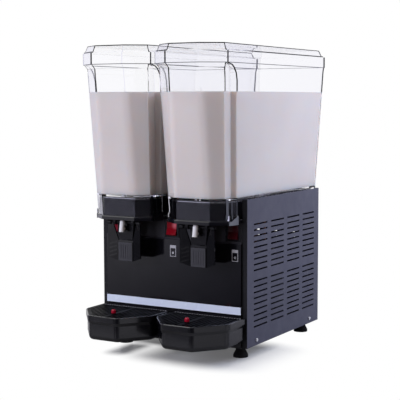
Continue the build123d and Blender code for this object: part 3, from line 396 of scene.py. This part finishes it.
# Finishes of single pieces, by a node's name or by its name without the side
FINISHES = {
    "tray_grille": solid(
        "grille_black", (0.0026, 0.0025, 0.0034), (0.0038, 0.0036, 0.0050), (0.40, 0.52), 2600.0,
        0.00003, 0.2, spec=0.03),
    "plinth": solid(
        "plinth_black", (0.0030, 0.0029, 0.0040), (0.0042, 0.0040, 0.0056), (0.10, 0.18), 1800.0,
        0.00002, 0.1, spec=0.46),
    "tap_lever": solid(
        "lever_black", (0.0034, 0.0033, 0.0044), (0.0050, 0.0049, 0.0064), (0.10, 0.17), 2200.0,
        0.00002, 0.15, spec=0.55),
    "drip_tray": solid(
        "tray_black", (0.0022, 0.0021, 0.0030), (0.0034, 0.0033, 0.0046), (0.12, 0.22), 2600.0, 0.00003, 0.2,
        spec=0.75),
    # Float: red above, painted shade below, where it sits down in the grille
    "tray_float": split(solid(
        "float_red", (0.30, 0.004, 0.020), (0.42, 0.008, 0.030), (0.14, 0.24), 900.0, 0.00003, 0.15),
        "Z", FLOAT_SHADE_CHANGE, (0.012, 0.002, 0.003)),
    "tap_nozzle": split(solid(
        "nozzle_white", (0.88, 0.88, 0.90), (0.92, 0.92, 0.93), (0.22, 0.34), 1200.0, 0.00004, 0.2),
        "Y", NOZZLE_CHANGE, (0.010, 0.010, 0.011)),
    # Front panel: upper face rougher and dark grey, the grey partly a painted reflection of the bright room
    "front": split(solid(
        "panel_black", (0.0040, 0.0038, 0.0054), (0.0052, 0.0050, 0.0070), (0.07, 0.16), 900.0,
        0.00002, 0.12),
        "Z", PANEL_CHANGE, (0.030, 0.0290, 0.036), 0.45),
    "case": solid(
        "screw_steel", (0.70, 0.70, 0.72), (0.82, 0.82, 0.84), (0.30, 0.42), 900.0, 0.00003, 0.2, metal=0.3),
    "rocker_left": solid(
        "rocker_red", (0.13, 0.0030, 0.012), (0.19, 0.0050, 0.018), (0.16, 0.28), 900.0, 0.00003, 0.15,
        spec=0.15),
    # Side panels: grey paint, with painted shade on the front returns
    "side_panel": painted_shade_front(solid(
        "side_grey", (0.057, 0.059, 0.088), (0.070, 0.072, 0.105), (0.40, 0.55), 1500.0, 0.00012, 0.55)),
}
slot_of = {row["node"]: row["material_slot"] for row in frame["record"]["subparts"]}
for name, piece in nodes.items():
    finish = FINISHES.get(name) or FINISHES.get(name.rsplit("_", 1)[0], MATERIALS[slot_of[name]])
    piece.data.materials.clear()
    piece.data.materials.append(finish)


def risen(z):
    """Share of the way up the bowl's body at a height."""
    return (z - SKIRT_Z) / (NECK_Z - SKIRT_Z)


def inset(points, depth):
    """Plan moved inward by a depth."""
    moved = []
    for i, here in enumerate(points):
        lines = []
        for a, b in ((points[i - 1], here), (here, points[(i + 1) % len(points)])):
            length = math.hypot(b[0] - a[0], b[1] - a[1])
            normal = ((a[1] - b[1]) / length, (b[0] - a[0]) / length)
            lines.append((normal, normal[0] * here[0] + normal[1] * here[1] + depth))
        (n1, d1), (n2, d2) = lines
        det = n1[0] * n2[1] - n1[1] * n2[0]
        moved.append(((d1 * n2[1] - d2 * n1[1]) / det, (n1[0] * d2 - n2[0] * d1) / det))
    return moved


def mirrored(half):
    """Whole plan from its right half."""
    return [*half, *((-x, y) for x, y in reversed(half))]


def bowl_plan(z):
    """Outside plan of the bowl below its neck, with the flutes in its front corners."""
    rise = risen(z)
    end = between(*END, rise)
    end_y = FRONT_Y - between(*END_AHEAD, rise)
    side = between(*SIDE, rise)
    side_y = FRONT_Y - between(*SIDE_AHEAD, rise)
    run = side - end
    back_run = side_y - end_y
    flute = [(end + run * along - back_run * deep, end_y + back_run * along + run * deep)
             for along, deep in FLUTE]
    front = (between(*CENTRE, rise), FRONT_Y - between(*FRONT_AHEAD, rise))
    back = (side, FRONT_Y + between(*BACK_BEHIND, rise))
    return mirrored([front, (end, end_y), *flute, (side, side_y), back])


def spread(points):
    """Plan with extra points on both sides of every corner, so that shading turns only near the corners."""
    more = []
    for i, here in enumerate(points):
        close = []
        for other in (points[i - 1], points[(i + 1) % len(points)]):
            share = min(CORNER_REACH / math.dist(here, other), CORNER_SHARE)
            close.append((between(here[0], other[0], share), between(here[1], other[1], share)))
        more.extend([close[0], here, close[1]])
    return more


def mesh_object(name, bm, material):
    """Object made from a bmesh, with its material."""
    bmesh.ops.recalc_face_normals(bm, faces=bm.faces)
    mesh = bpy.data.meshes.new(name)
    bm.to_mesh(mesh)
    bm.free()
    mesh.materials.append(material)
    made = bpy.data.objects.new(name, mesh)
    bpy.context.scene.collection.objects.link(made)
    return made


def add_band(bm, low, high, smooth=False):
    """Adds the faces between two rings of points to a mesh."""
    for i in range(len(low)):
        j = (i + 1) % len(low)
        bm.faces.new((low[i], low[j], high[j], high[i])).smooth = smooth


def add_plate(bm, x0, x1, y0, y1, z0, z1):
    """Adds a block between two corners to a mesh."""
    corners = [bm.verts.new((x, y, z)) for x in (x0, x1) for y in (y0, y1) for z in (z0, z1)]
    for face in ((0, 1, 3, 2), (4, 6, 7, 5), (0, 4, 5, 1), (2, 3, 7, 6), (0, 2, 6, 4), (1, 5, 7, 3)):
        bm.faces.new([corners[i] for i in face])


def add_slab(bm, outline, push):
    """Adds a flat piece to a mesh: an outline carried along a short way."""
    near = [bm.verts.new(point) for point in outline]
    far = [bm.verts.new(Vector(point) + push) for point in outline]
    bm.faces.new(near)
    bm.faces.new(list(reversed(far)))
    for k in range(len(near)):
        j = (k + 1) % len(near)
        bm.faces.new((near[k], far[k], far[j], near[j]))


def drink_material():
    """Milky drink: soft, slightly warm white with a faint drift."""
    material, tree, shader = new_material("milk_drink")
    drift = tint(tree, noise(tree, 6.0, 3.0), (0.715, 0.667, 0.634), (0.755, 0.707, 0.674))
    tree.links.new(drift, shader.inputs["Base Color"])
    tree.links.new(ramp(tree, noise(tree, 12.0), 0.35, 0.5), shader.inputs["Roughness"])
    shader.inputs["Subsurface Weight"].default_value = 1.0
    shader.inputs["Subsurface Radius"].default_value = (0.022, 0.017, 0.014)
    shader.inputs["Subsurface Scale"].default_value = 1.0
    return material


def make_drink(side, material):
    """Drink filling a bowl, with a hollow for the chilled drum and the impeller."""
    x = side * BOWL_X
    bm = bmesh.new()
    rings = []
    for share in DRINK_LEVELS:
        z = between(DRINK_LOW, DRINK_TOP, share)
        plan = spread(inset(bowl_plan(z), WALL - DRINK_OVERLAP))
        rings.append([bm.verts.new((x + px, py, z)) for px, py in plan])
    for low, high in zip(rings, rings[1:]):
        add_band(bm, low, high, smooth=True)
    bm.faces.new(rings[-1])
    turns = [2 * math.pi * k / HOLLOW_SIDES for k in range(HOLLOW_SIDES)]
    circle = [(x + HOLLOW_RADIUS * math.cos(turn), DRUM_Y + HOLLOW_RADIUS * math.sin(turn)) for turn in turns]
    low_ring = [bm.verts.new((cx, cy, DRINK_LOW)) for cx, cy in circle]
    top_ring = [bm.verts.new((cx, cy, HOLLOW_TOP)) for cx, cy in circle]
    edges = []
    for ring in (rings[0], low_ring):
        for i in range(len(ring)):
            pair = (ring[i], ring[(i + 1) % len(ring)])
            edges.append(bm.edges.get(pair) or bm.edges.new(pair))
    add_band(bm, low_ring, top_ring)
    bm.faces.new(top_ring)
    bmesh.ops.triangle_fill(bm, edges=edges, use_beauty=True)
    bm.normal_update()
    for edge in bm.edges:
        flat = [abs(face.normal.z) > 0.5 for face in edge.link_faces]
        edge.smooth = all(flat) or not any(flat)
    # Every third point is a corner; all but the two beside the flat front are sharp
    for low, high in zip(rings, rings[1:]):
        for i in range(4, len(low) - 3, 3):
            bm.edges.get((low[i], high[i])).smooth = False
    made = mesh_object("drink_" + hand(side), bm, material)
    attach(made, "bowl_left" if side < 0 else "bowl_right")


def make_collar_shade(side, material):
    """Thin dark band that runs round the bowl under its collar, painted shade along the collar's step."""
    name = hand(side)
    bm = bmesh.new()
    rings = []
    for out, rise in BAND_SECTION:
        ring = []
        for px, py in mirrored(COLLAR_PLAN):
            x = side * BOWL_X + (px + math.copysign(out, px))
            y = FRONT_Y + py + (out if py > 0 else -out)
            ring.append(bm.verts.new((x, y, COLLAR_Z + rise)))
        rings.append(ring)
    for low, high in zip(rings, rings[1:] + rings[:1]):
        add_band(bm, low, high)
    made = mesh_object("shade_under_collar_" + name, bm, material)
    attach(made, "bowl_" + name)


def make_grille_highlights(side, material):
    """Row of small pale ribs along the back edge of a drip grille: painted highlights where the slot ends
    catch light.
    """
    name = hand(side)
    bm = bmesh.new()
    push = Vector((0.0, 0.0, RIB_HEIGHT))
    for i in range(-RIB_REACH, RIB_REACH + 1):
        middle = side * BOWL_X + i * RIB_PITCH
        add_slab(bm, [Vector((middle + x, y, GRILLE_TOP - RIB_SINK)) for x, y in RIB_OUTLINE], push)
    made = mesh_object("grille_highlight_ribs_" + name, bm, material)
    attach(made, "grille_" + name)


def make_vent_shade(material):
    """Dark sheet behind the rear vents, in strips with narrow gaps between them: painted shade for the inside
    of the case.
    """
    bm = bmesh.new()
    push = Vector((0.0, VENT_SHADE_THICKNESS, 0.0))
    low, high = VENT_SHADE_HEIGHTS
    for x0, x1 in VENT_SHADE_STRIPS:
        corners = ((x0, low), (x1, low), (x1, high), (x0, high))
        add_slab(bm, [Vector((x, VENT_SHADE_Y, z)) for x, z in corners], push)
    made = mesh_object("rear_vent_shade", bm, material)
    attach(made, "cabinet")


def strip_spot(side, corner, run, z, out):
    """Point on a bowl's corner strip: a run along it, a height and a way out of it."""
    rise = risen(z)
    start = Vector((between(*END, rise), FRONT_Y - between(*END_AHEAD, rise), z))
    end = Vector((between(*SIDE, rise), FRONT_Y - between(*SIDE_AHEAD, rise), z))
    along = (end - start).normalized()
    place = start + along * run + Vector((along.y, -along.x, 0.0)) * out
    return Vector((side * BOWL_X + corner * place.x, place.y, place.z))


def make_skirt_light_and_shade(side, corner, edge_material, face_material):
    """Painted light low on a bowl's corner: strips along the flute's edges and a plate on its tab's face,
    pale as painted highlights on the outer corners and black as painted shade on the inner ones.
    """
    bowl = hand(side)
    name = bowl if side == corner else bowl + "_inner"
    flush = strip_spot(side, corner, *STRIP_MIDDLE, 0.0)
    push = strip_spot(side, corner, *STRIP_MIDDLE, EDGE_THICKNESS) - flush
    bm = bmesh.new()
    for path, width in FLUTE_EDGES:
        for (run, z), (next_run, next_z) in zip(path, path[1:]):
            corners = ((run, z), (run + width, z), (next_run + width, next_z), (next_run, next_z))
            add_slab(bm, [strip_spot(side, corner, *spot, 0.0) for spot in corners], push)
    edges = mesh_object("flute_painted_light_" + name, bm, edge_material)
    bm = bmesh.new()
    add_slab(bm, [strip_spot(side, corner, *spot, TAB_OUT) for spot in TAB_FACE], push)
    face = mesh_object("tab_painted_light_" + name, bm, face_material)
    for made in (edges, face):
        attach(made, "bowl_" + bowl)


def make_lever_pad(side, material):
    """Grey bevelled plate with upright ribs on a lever's pad, lighter than the black lever."""
    x = side * BOWL_X
    bm = bmesh.new()
    add_plate(bm, x - PAD_HALF, x + PAD_HALF, PAD_Y - PAD_OUT, PAD_Y + PAD_IN, *PAD_HEIGHTS)
    for i in range(GRIP_COUNT):
        rib_x = x + (i - GRIP_COUNT // 2) * GRIP_PITCH
        add_plate(bm, rib_x - GRIP_HALF, rib_x + GRIP_HALF, PAD_Y - GRIP_OUT, PAD_Y, *GRIP_HEIGHTS)
    bmesh.ops.bevel(bm, geom=list(bm.edges), offset=PAD_BEVEL, segments=2, affect="EDGES", clamp_overlap=True)
    made = mesh_object("lever_pad_" + hand(side), bm, material)
    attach(made, "lever_left" if side < 0 else "lever_right")


def add_sign(bm, x, kind):
    """Adds a plain sign to a mesh: a frame with a filled top and a dot or a star in it."""
    left, right = x - SIGN_HALF, x + SIGN_HALF
    add_plate(bm, left, right, *SIGN_DEPTH, SIGN_CAP, SIGN_HIGH)
    add_plate(bm, left, left + SIGN_LINE, *SIGN_DEPTH, SIGN_LOW, SIGN_CAP)
    add_plate(bm, right - SIGN_LINE, right, *SIGN_DEPTH, SIGN_LOW, SIGN_CAP)
    add_plate(bm, left + SIGN_LINE, right - SIGN_LINE, *SIGN_DEPTH, SIGN_LOW, SIGN_LOW + SIGN_LINE)
    front, back = SIGN_DEPTH
    outline = []
    for k in range(SIGN_POINTS):
        turn = 2 * math.pi * k / SIGN_POINTS
        reach = SIGN_RADII[kind][k % 2]
        outline.append((x + reach * math.cos(turn), front, SIGN_MARK_Z + reach * math.sin(turn)))
    add_slab(bm, outline, Vector((0.0, back - front, 0.0)))


def make_signs(material):
    """White printed signs under the three switches."""
    bm = bmesh.new()
    for x, kind in SIGNS:
        add_sign(bm, x, kind)
    made = mesh_object("switch_signs", bm, material)
    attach(made, "cabinet")


milk = drink_material()
# Dark band under the collars: painted shade
painted_shade_band = solid("collar_painted_shade", (0.045, 0.045, 0.060), (0.065, 0.065, 0.082), (0.2, 0.35), 500.0, 0.00002, 0.1)
# Pale ribs on the grilles: painted highlights
painted_highlight_ribs = solid(
    "painted_highlight_ribs", (0.42, 0.42, 0.45), (0.55, 0.55, 0.58), (0.2, 0.35), 700.0, 0.00002, 0.15, metal=0.2)
# Dark sheet behind the rear vents: painted shade
painted_shade_sheet = solid(
    "vent_painted_shade", (0.006, 0.006, 0.007), (0.013, 0.013, 0.014), (0.75, 0.9), 3000.0, 0.0003, 0.6, spec=0.1)
# Pale strips and tab plate: painted highlights on the clear plastic's outer corners
painted_highlight_edge = solid("painted_highlight_strip", (0.10, 0.107, 0.128), (0.14, 0.147, 0.168), (0.25, 0.4), 500.0, 0.00002, 0.1)
painted_highlight_tab = solid("painted_highlight_tab", (0.11, 0.118, 0.14), (0.22, 0.232, 0.26), (0.3, 0.5), 260.0, 0.0001, 0.4)
# Black strips and plate: painted shade on the clear plastic's inner corners
painted_shade_edge = solid(
    "painted_shade_strip", (0.004, 0.004, 0.005), (0.007, 0.007, 0.009), (0.3, 0.45), 500.0, 0.00002, 0.1, spec=0.1)
pad_grey = solid(
    "pad_grey", (0.050, 0.050, 0.058), (0.062, 0.062, 0.070), (0.38, 0.5), 2200.0, 0.00004, 0.3, spec=0.3)
sign_white = solid("sign_white", (0.40, 0.40, 0.43), (0.48, 0.48, 0.51), (0.35, 0.5), 900.0, 0.00002, 0.1)
for side in (-1, 1):
    make_drink(side, milk)
for side in (-1, 1):
    make_collar_shade(side, painted_shade_band)
for side in (-1, 1):
    make_grille_highlights(side, painted_highlight_ribs)
make_vent_shade(painted_shade_sheet)
for side in (-1, 1):
    make_skirt_light_and_shade(side, side, painted_highlight_edge, painted_highlight_tab)
    make_skirt_light_and_shade(side, -side, painted_shade_edge, painted_shade_edge)
for side in (-1, 1):
    make_lever_pad(side, pad_grey)
make_signs(sign_white)

# Floor: half sizes and middle; places where it keeps its shadow: centre, half size and soft edge
FLOOR_HALF = (1.6, 0.97)
FLOOR_Y = 0.45
SHADES = (
    ((0.084, -0.092), (0.068, 0.088), (0.13, 0.09)),
    ((-0.104, -0.155), (0.006, 0.03), (0.04, 0.055)),
    ((-0.06, 0.03), (0.09, 0.10), (0.04, 0.04)),
)
SHADE_WHITE = 0.08
# Floor's tone to the camera and to everything else
FLOOR_SEEN = (0.88, 0.88, 0.88)
FLOOR_UNSEEN = (0.22, 0.22, 0.23)

# Tones of the room along a level line, from behind the camera (0) to behind the object (1)
AWAY = (-0.504, 0.864, 0.0)
# Seen through clear plastic
THROUGH_TONES = (
    (0.0, (0.95, 0.95, 1.0)), (0.20, (0.90, 0.90, 0.99)), (0.29, (0.79, 0.79, 0.91)),
    (0.38, (0.46, 0.455, 0.61)), (0.50, (0.48, 0.475, 0.64)), (0.745, (0.67, 0.665, 0.83)),
    (0.91, (0.75, 0.74, 0.90)), (0.985, (1.0, 1.0, 1.0)), (1.0, (1.0, 1.0, 1.0)),
)
# In the gloss of pieces behind clear plastic
BEHIND_TONES = (
    (0.0, (0.012, 0.012, 0.02)), (0.17, (0.03, 0.03, 0.04)), (0.225, (0.48, 0.48, 0.64)),
    (0.26, (0.74, 0.74, 0.96)), (0.30, (0.78, 0.78, 1.0)), (0.40, (0.70, 0.70, 0.90)),
    (0.48, (0.10, 0.10, 0.12)), (0.73, (0.10, 0.10, 0.12)), (0.80, (0.60, 0.60, 0.70)),
    (1.0, (1.0, 1.0, 1.0)),
)
# In gloss
GLOSS_TONES = (
    (0.0, (0.012, 0.012, 0.018)), (0.066, (0.03, 0.03, 0.04)), (0.08, (0.92, 0.91, 1.0)),
    (0.13, (0.92, 0.91, 1.0)), (0.17, (0.06, 0.06, 0.08)), (0.23, (0.12, 0.12, 0.15)),
    (0.262, (0.56, 0.55, 0.67)), (0.285, (0.92, 0.91, 1.0)), (0.36, (0.92, 0.91, 1.0)),
    (0.44, (0.35, 0.35, 0.40)), (0.48, (0.05, 0.05, 0.06)), (0.63, (0.05, 0.05, 0.06)),
    (0.68, (0.50, 0.49, 0.60)), (0.745, (0.66, 0.65, 0.78)), (0.91, (0.74, 0.73, 0.86)),
    (0.985, (1.0, 1.0, 1.0)), (1.0, (1.0, 1.0, 1.0)),
)
# In gloss that looks down, and how steeply it looks down as these tones come in
LOW_TONES = (
    (0.0, (0.010, 0.010, 0.015)), (0.20, (0.02, 0.02, 0.026)), (0.235, (0.03, 0.03, 0.04)),
    (0.265, (0.10, 0.10, 0.12)), (0.29, (0.17, 0.165, 0.20)), (0.40, (0.17, 0.165, 0.20)),
    (0.48, (0.05, 0.05, 0.06)), (0.57, (0.06, 0.06, 0.08)), (0.66, (0.55, 0.54, 0.62)),
    (0.745, (1.0, 0.98, 1.0)), (1.0, (1.0, 1.0, 1.0)),
)
LOW_START = -0.115
LOW_END = -0.19
# In soft light that has bounced
FILL_TONES = (
    (0.0, (0.130, 0.090, 0.066)), (0.35, (0.130, 0.090, 0.066)), (0.5, (0.118, 0.100, 0.090)),
    (0.8, (0.15, 0.142, 0.14)), (1.0, (0.42, 0.40, 0.40)),
)

# Camera: place, turn about the upright, tilt down, roll and lens
CAMERA_PLACE = (1.2611, FRONT_Y - 2.0400, 0.5581)
CAMERA_TURN = 30.28
CAMERA_TILT = 5.2
CAMERA_ROLL = -0.12
CAMERA_LENS = 98.4


def beyond(tree, centre, half, edge):
    """Share of white on the floor: next to none in a box round a place, all of it beyond a soft edge."""
    outside = spots(tree)
    for operation, amount in (("SUBTRACT", (*centre, 0.0)), ("ABSOLUTE", None), ("SUBTRACT", (*half, 0.0)),
                              ("MAXIMUM", (0.0, 0.0, 0.0)), ("DIVIDE", (*edge, 1.0))):
        step = node(tree, "ShaderNodeVectorMath", operation=operation)
        tree.links.new(outside, step.inputs[0])
        if amount:
            step.inputs[1].default_value = amount
        outside = step.outputs["Vector"]
    away = node(tree, "ShaderNodeVectorMath", operation="LENGTH")
    tree.links.new(outside, away.inputs[0])
    return ramp(tree, away.outputs["Value"], SHADE_WHITE, 1.0, 0.0, 1.0, "SMOOTHSTEP")


def before_diffuse(tree, path):
    """One for rays that have not yet met a matt surface."""
    return calculate(tree, "LESS_THAN", path.outputs["Diffuse Depth"], 0.5)


def make_stage():
    """White floor that keeps the object's shadow."""
    bm = bmesh.new()
    bmesh.ops.create_grid(bm, x_segments=8, y_segments=8, size=1.0)
    for vert in bm.verts:
        vert.co = Vector((vert.co.x * FLOOR_HALF[0], FLOOR_Y + vert.co.y * FLOOR_HALF[1], 0.0))
    material, tree, shader = new_material("floor_white")
    shader.inputs["Roughness"].default_value = 0.24
    path = node(tree, "ShaderNodeLightPath")
    pale = mixed(tree, path.outputs["Is Camera Ray"], FLOOR_UNSEEN, FLOOR_SEEN)
    tree.links.new(pale, shader.inputs["Base Color"])
    through = calculate(tree, "MULTIPLY", path.outputs["Is Transmission Ray"], before_diffuse(tree, path))
    share = calculate(tree, "MAXIMUM", path.outputs["Is Camera Ray"], through)
    for shade in SHADES:
        share = calculate(tree, "MULTIPLY", share, beyond(tree, *shade))
    glow = node(tree, "ShaderNodeEmission")
    glow.inputs["Strength"].default_value = 1.0
    blended(tree, share, shader.outputs["BSDF"], glow.outputs["Emission"])
    floor = mesh_object("floor", bm, material)


def room_ramp(tree, value, tones):
    """Colour ramp over the room's tones."""
    room = node(tree, "ShaderNodeValToRGB")
    stops = room.color_ramp.elements
    stops[0].position = 0.0
    stops[0].color = (*tones[0][1], 1.0)
    stops[1].position = 1.0
    stops[1].color = (*tones[-1][1], 1.0)
    for position, tone in tones[1:-1]:
        stops.new(position).color = (*tone, 1.0)
    tree.links.new(value, room.inputs["Fac"])
    return room.outputs["Color"]


def make_world():
    """White behind the object; a room of its own tones in gloss, through clear plastic and in soft light."""
    world = bpy.data.worlds.new("studio")
    bpy.context.scene.world = world
    world.use_nodes = True
    tree = world.node_tree
    back = tree.nodes["Background"]
    path = node(tree, "ShaderNodeLightPath")
    direction = node(tree, "ShaderNodeTexCoord").outputs["Generated"]
    facing = node(tree, "ShaderNodeVectorMath", operation="DOT_PRODUCT")
    tree.links.new(direction, facing.inputs[0])
    facing.inputs[1].default_value = AWAY
    along = ramp(tree, facing.outputs["Value"], 0.0, 1.0, -1.0, 1.0)
    # One reflection, with a wall's two faces crossed on the way in and again on the way out
    one_gloss = calculate(tree, "COMPARE", path.outputs["Glossy Depth"], 1.0, 0.5)
    one_wall = calculate(tree, "COMPARE", path.outputs["Transmission Depth"], 4.0, 0.5)
    behind = calculate(tree, "MULTIPLY", one_gloss, one_wall)
    through = mixed(tree, behind, room_ramp(tree, along, THROUGH_TONES), room_ramp(tree, along, BEHIND_TONES))
    low = ramp(tree, axis_of(tree, direction, "Z"), 0.0, 1.0, LOW_START, LOW_END)
    gloss = mixed(tree, low, room_ramp(tree, along, GLOSS_TONES), room_ramp(tree, along, LOW_TONES))
    colour = mixed(tree, path.outputs["Is Transmission Ray"], gloss, through)
    colour = mixed(tree, before_diffuse(tree, path), room_ramp(tree, along, FILL_TONES), colour)
    colour = mixed(tree, path.outputs["Is Camera Ray"], colour, (1.0, 1.0, 1.0))
    tree.links.new(colour, back.inputs["Color"])
    back.inputs["Strength"].default_value = 1.0


def area_light(name, place, aim, size, power, colour=(1.0, 1.0, 1.0), shine=False):
    """Square soft box aimed at a point; it shows in gloss only where asked."""
    lamp = bpy.data.lights.new(name, "AREA")
    lamp.shape = "RECTANGLE"
    lamp.size = size
    lamp.size_y = size
    lamp.energy = power
    lamp.color = colour
    made = bpy.data.objects.new(name, lamp)
    made.location = place
    made.rotation_euler = (Vector(aim) - Vector(place)).to_track_quat("-Z", "Y").to_euler()
    made.visible_camera = False
    made.visible_transmission = False
    made.visible_glossy = shine
    bpy.context.scene.collection.objects.link(made)


def make_camera():
    """Camera fitted to the photograph's edges."""
    lens = bpy.data.cameras.new("camera")
    lens.sensor_width = 36.0
    lens.lens = CAMERA_LENS
    lens.clip_start = 0.05
    lens.clip_end = 60.0
    made = bpy.data.objects.new("camera", lens)
    turn = Matrix.Rotation(math.radians(CAMERA_TURN), 4, "Z")
    tilt = Matrix.Rotation(math.radians(90 - CAMERA_TILT), 4, "X")
    roll = Matrix.Rotation(math.radians(CAMERA_ROLL), 4, "Z")
    made.matrix_world = Matrix.Translation(CAMERA_PLACE) @ turn @ tilt @ roll
    bpy.context.scene.collection.objects.link(made)
    bpy.context.scene.camera = made


make_stage()
make_world()
area_light(
    "key_left", (-1.35, -3.2, 0.95), (0.0, -0.05, 0.35), size=1.8, power=94.0, colour=(0.835, 0.860, 1.0))
area_light(
    "side_right", (1.25, 0.85, 0.95), (0.0, 0.05, 0.40), size=1.0, power=25.2, colour=(0.72, 0.785, 0.97))
area_light("overhead", (0.0, 0.4, 2.4), (0.0, 0.0, 0.0), size=3.0, power=62.0)
area_light("edge_left", (-1.05, -0.65, 2.4), (0.0, -0.2, 0.2), size=1.1, power=8.0, shine=True)
make_camera()

bpy.context.scene.view_settings.view_transform = "Standard"
bpy.context.view_layer.update()
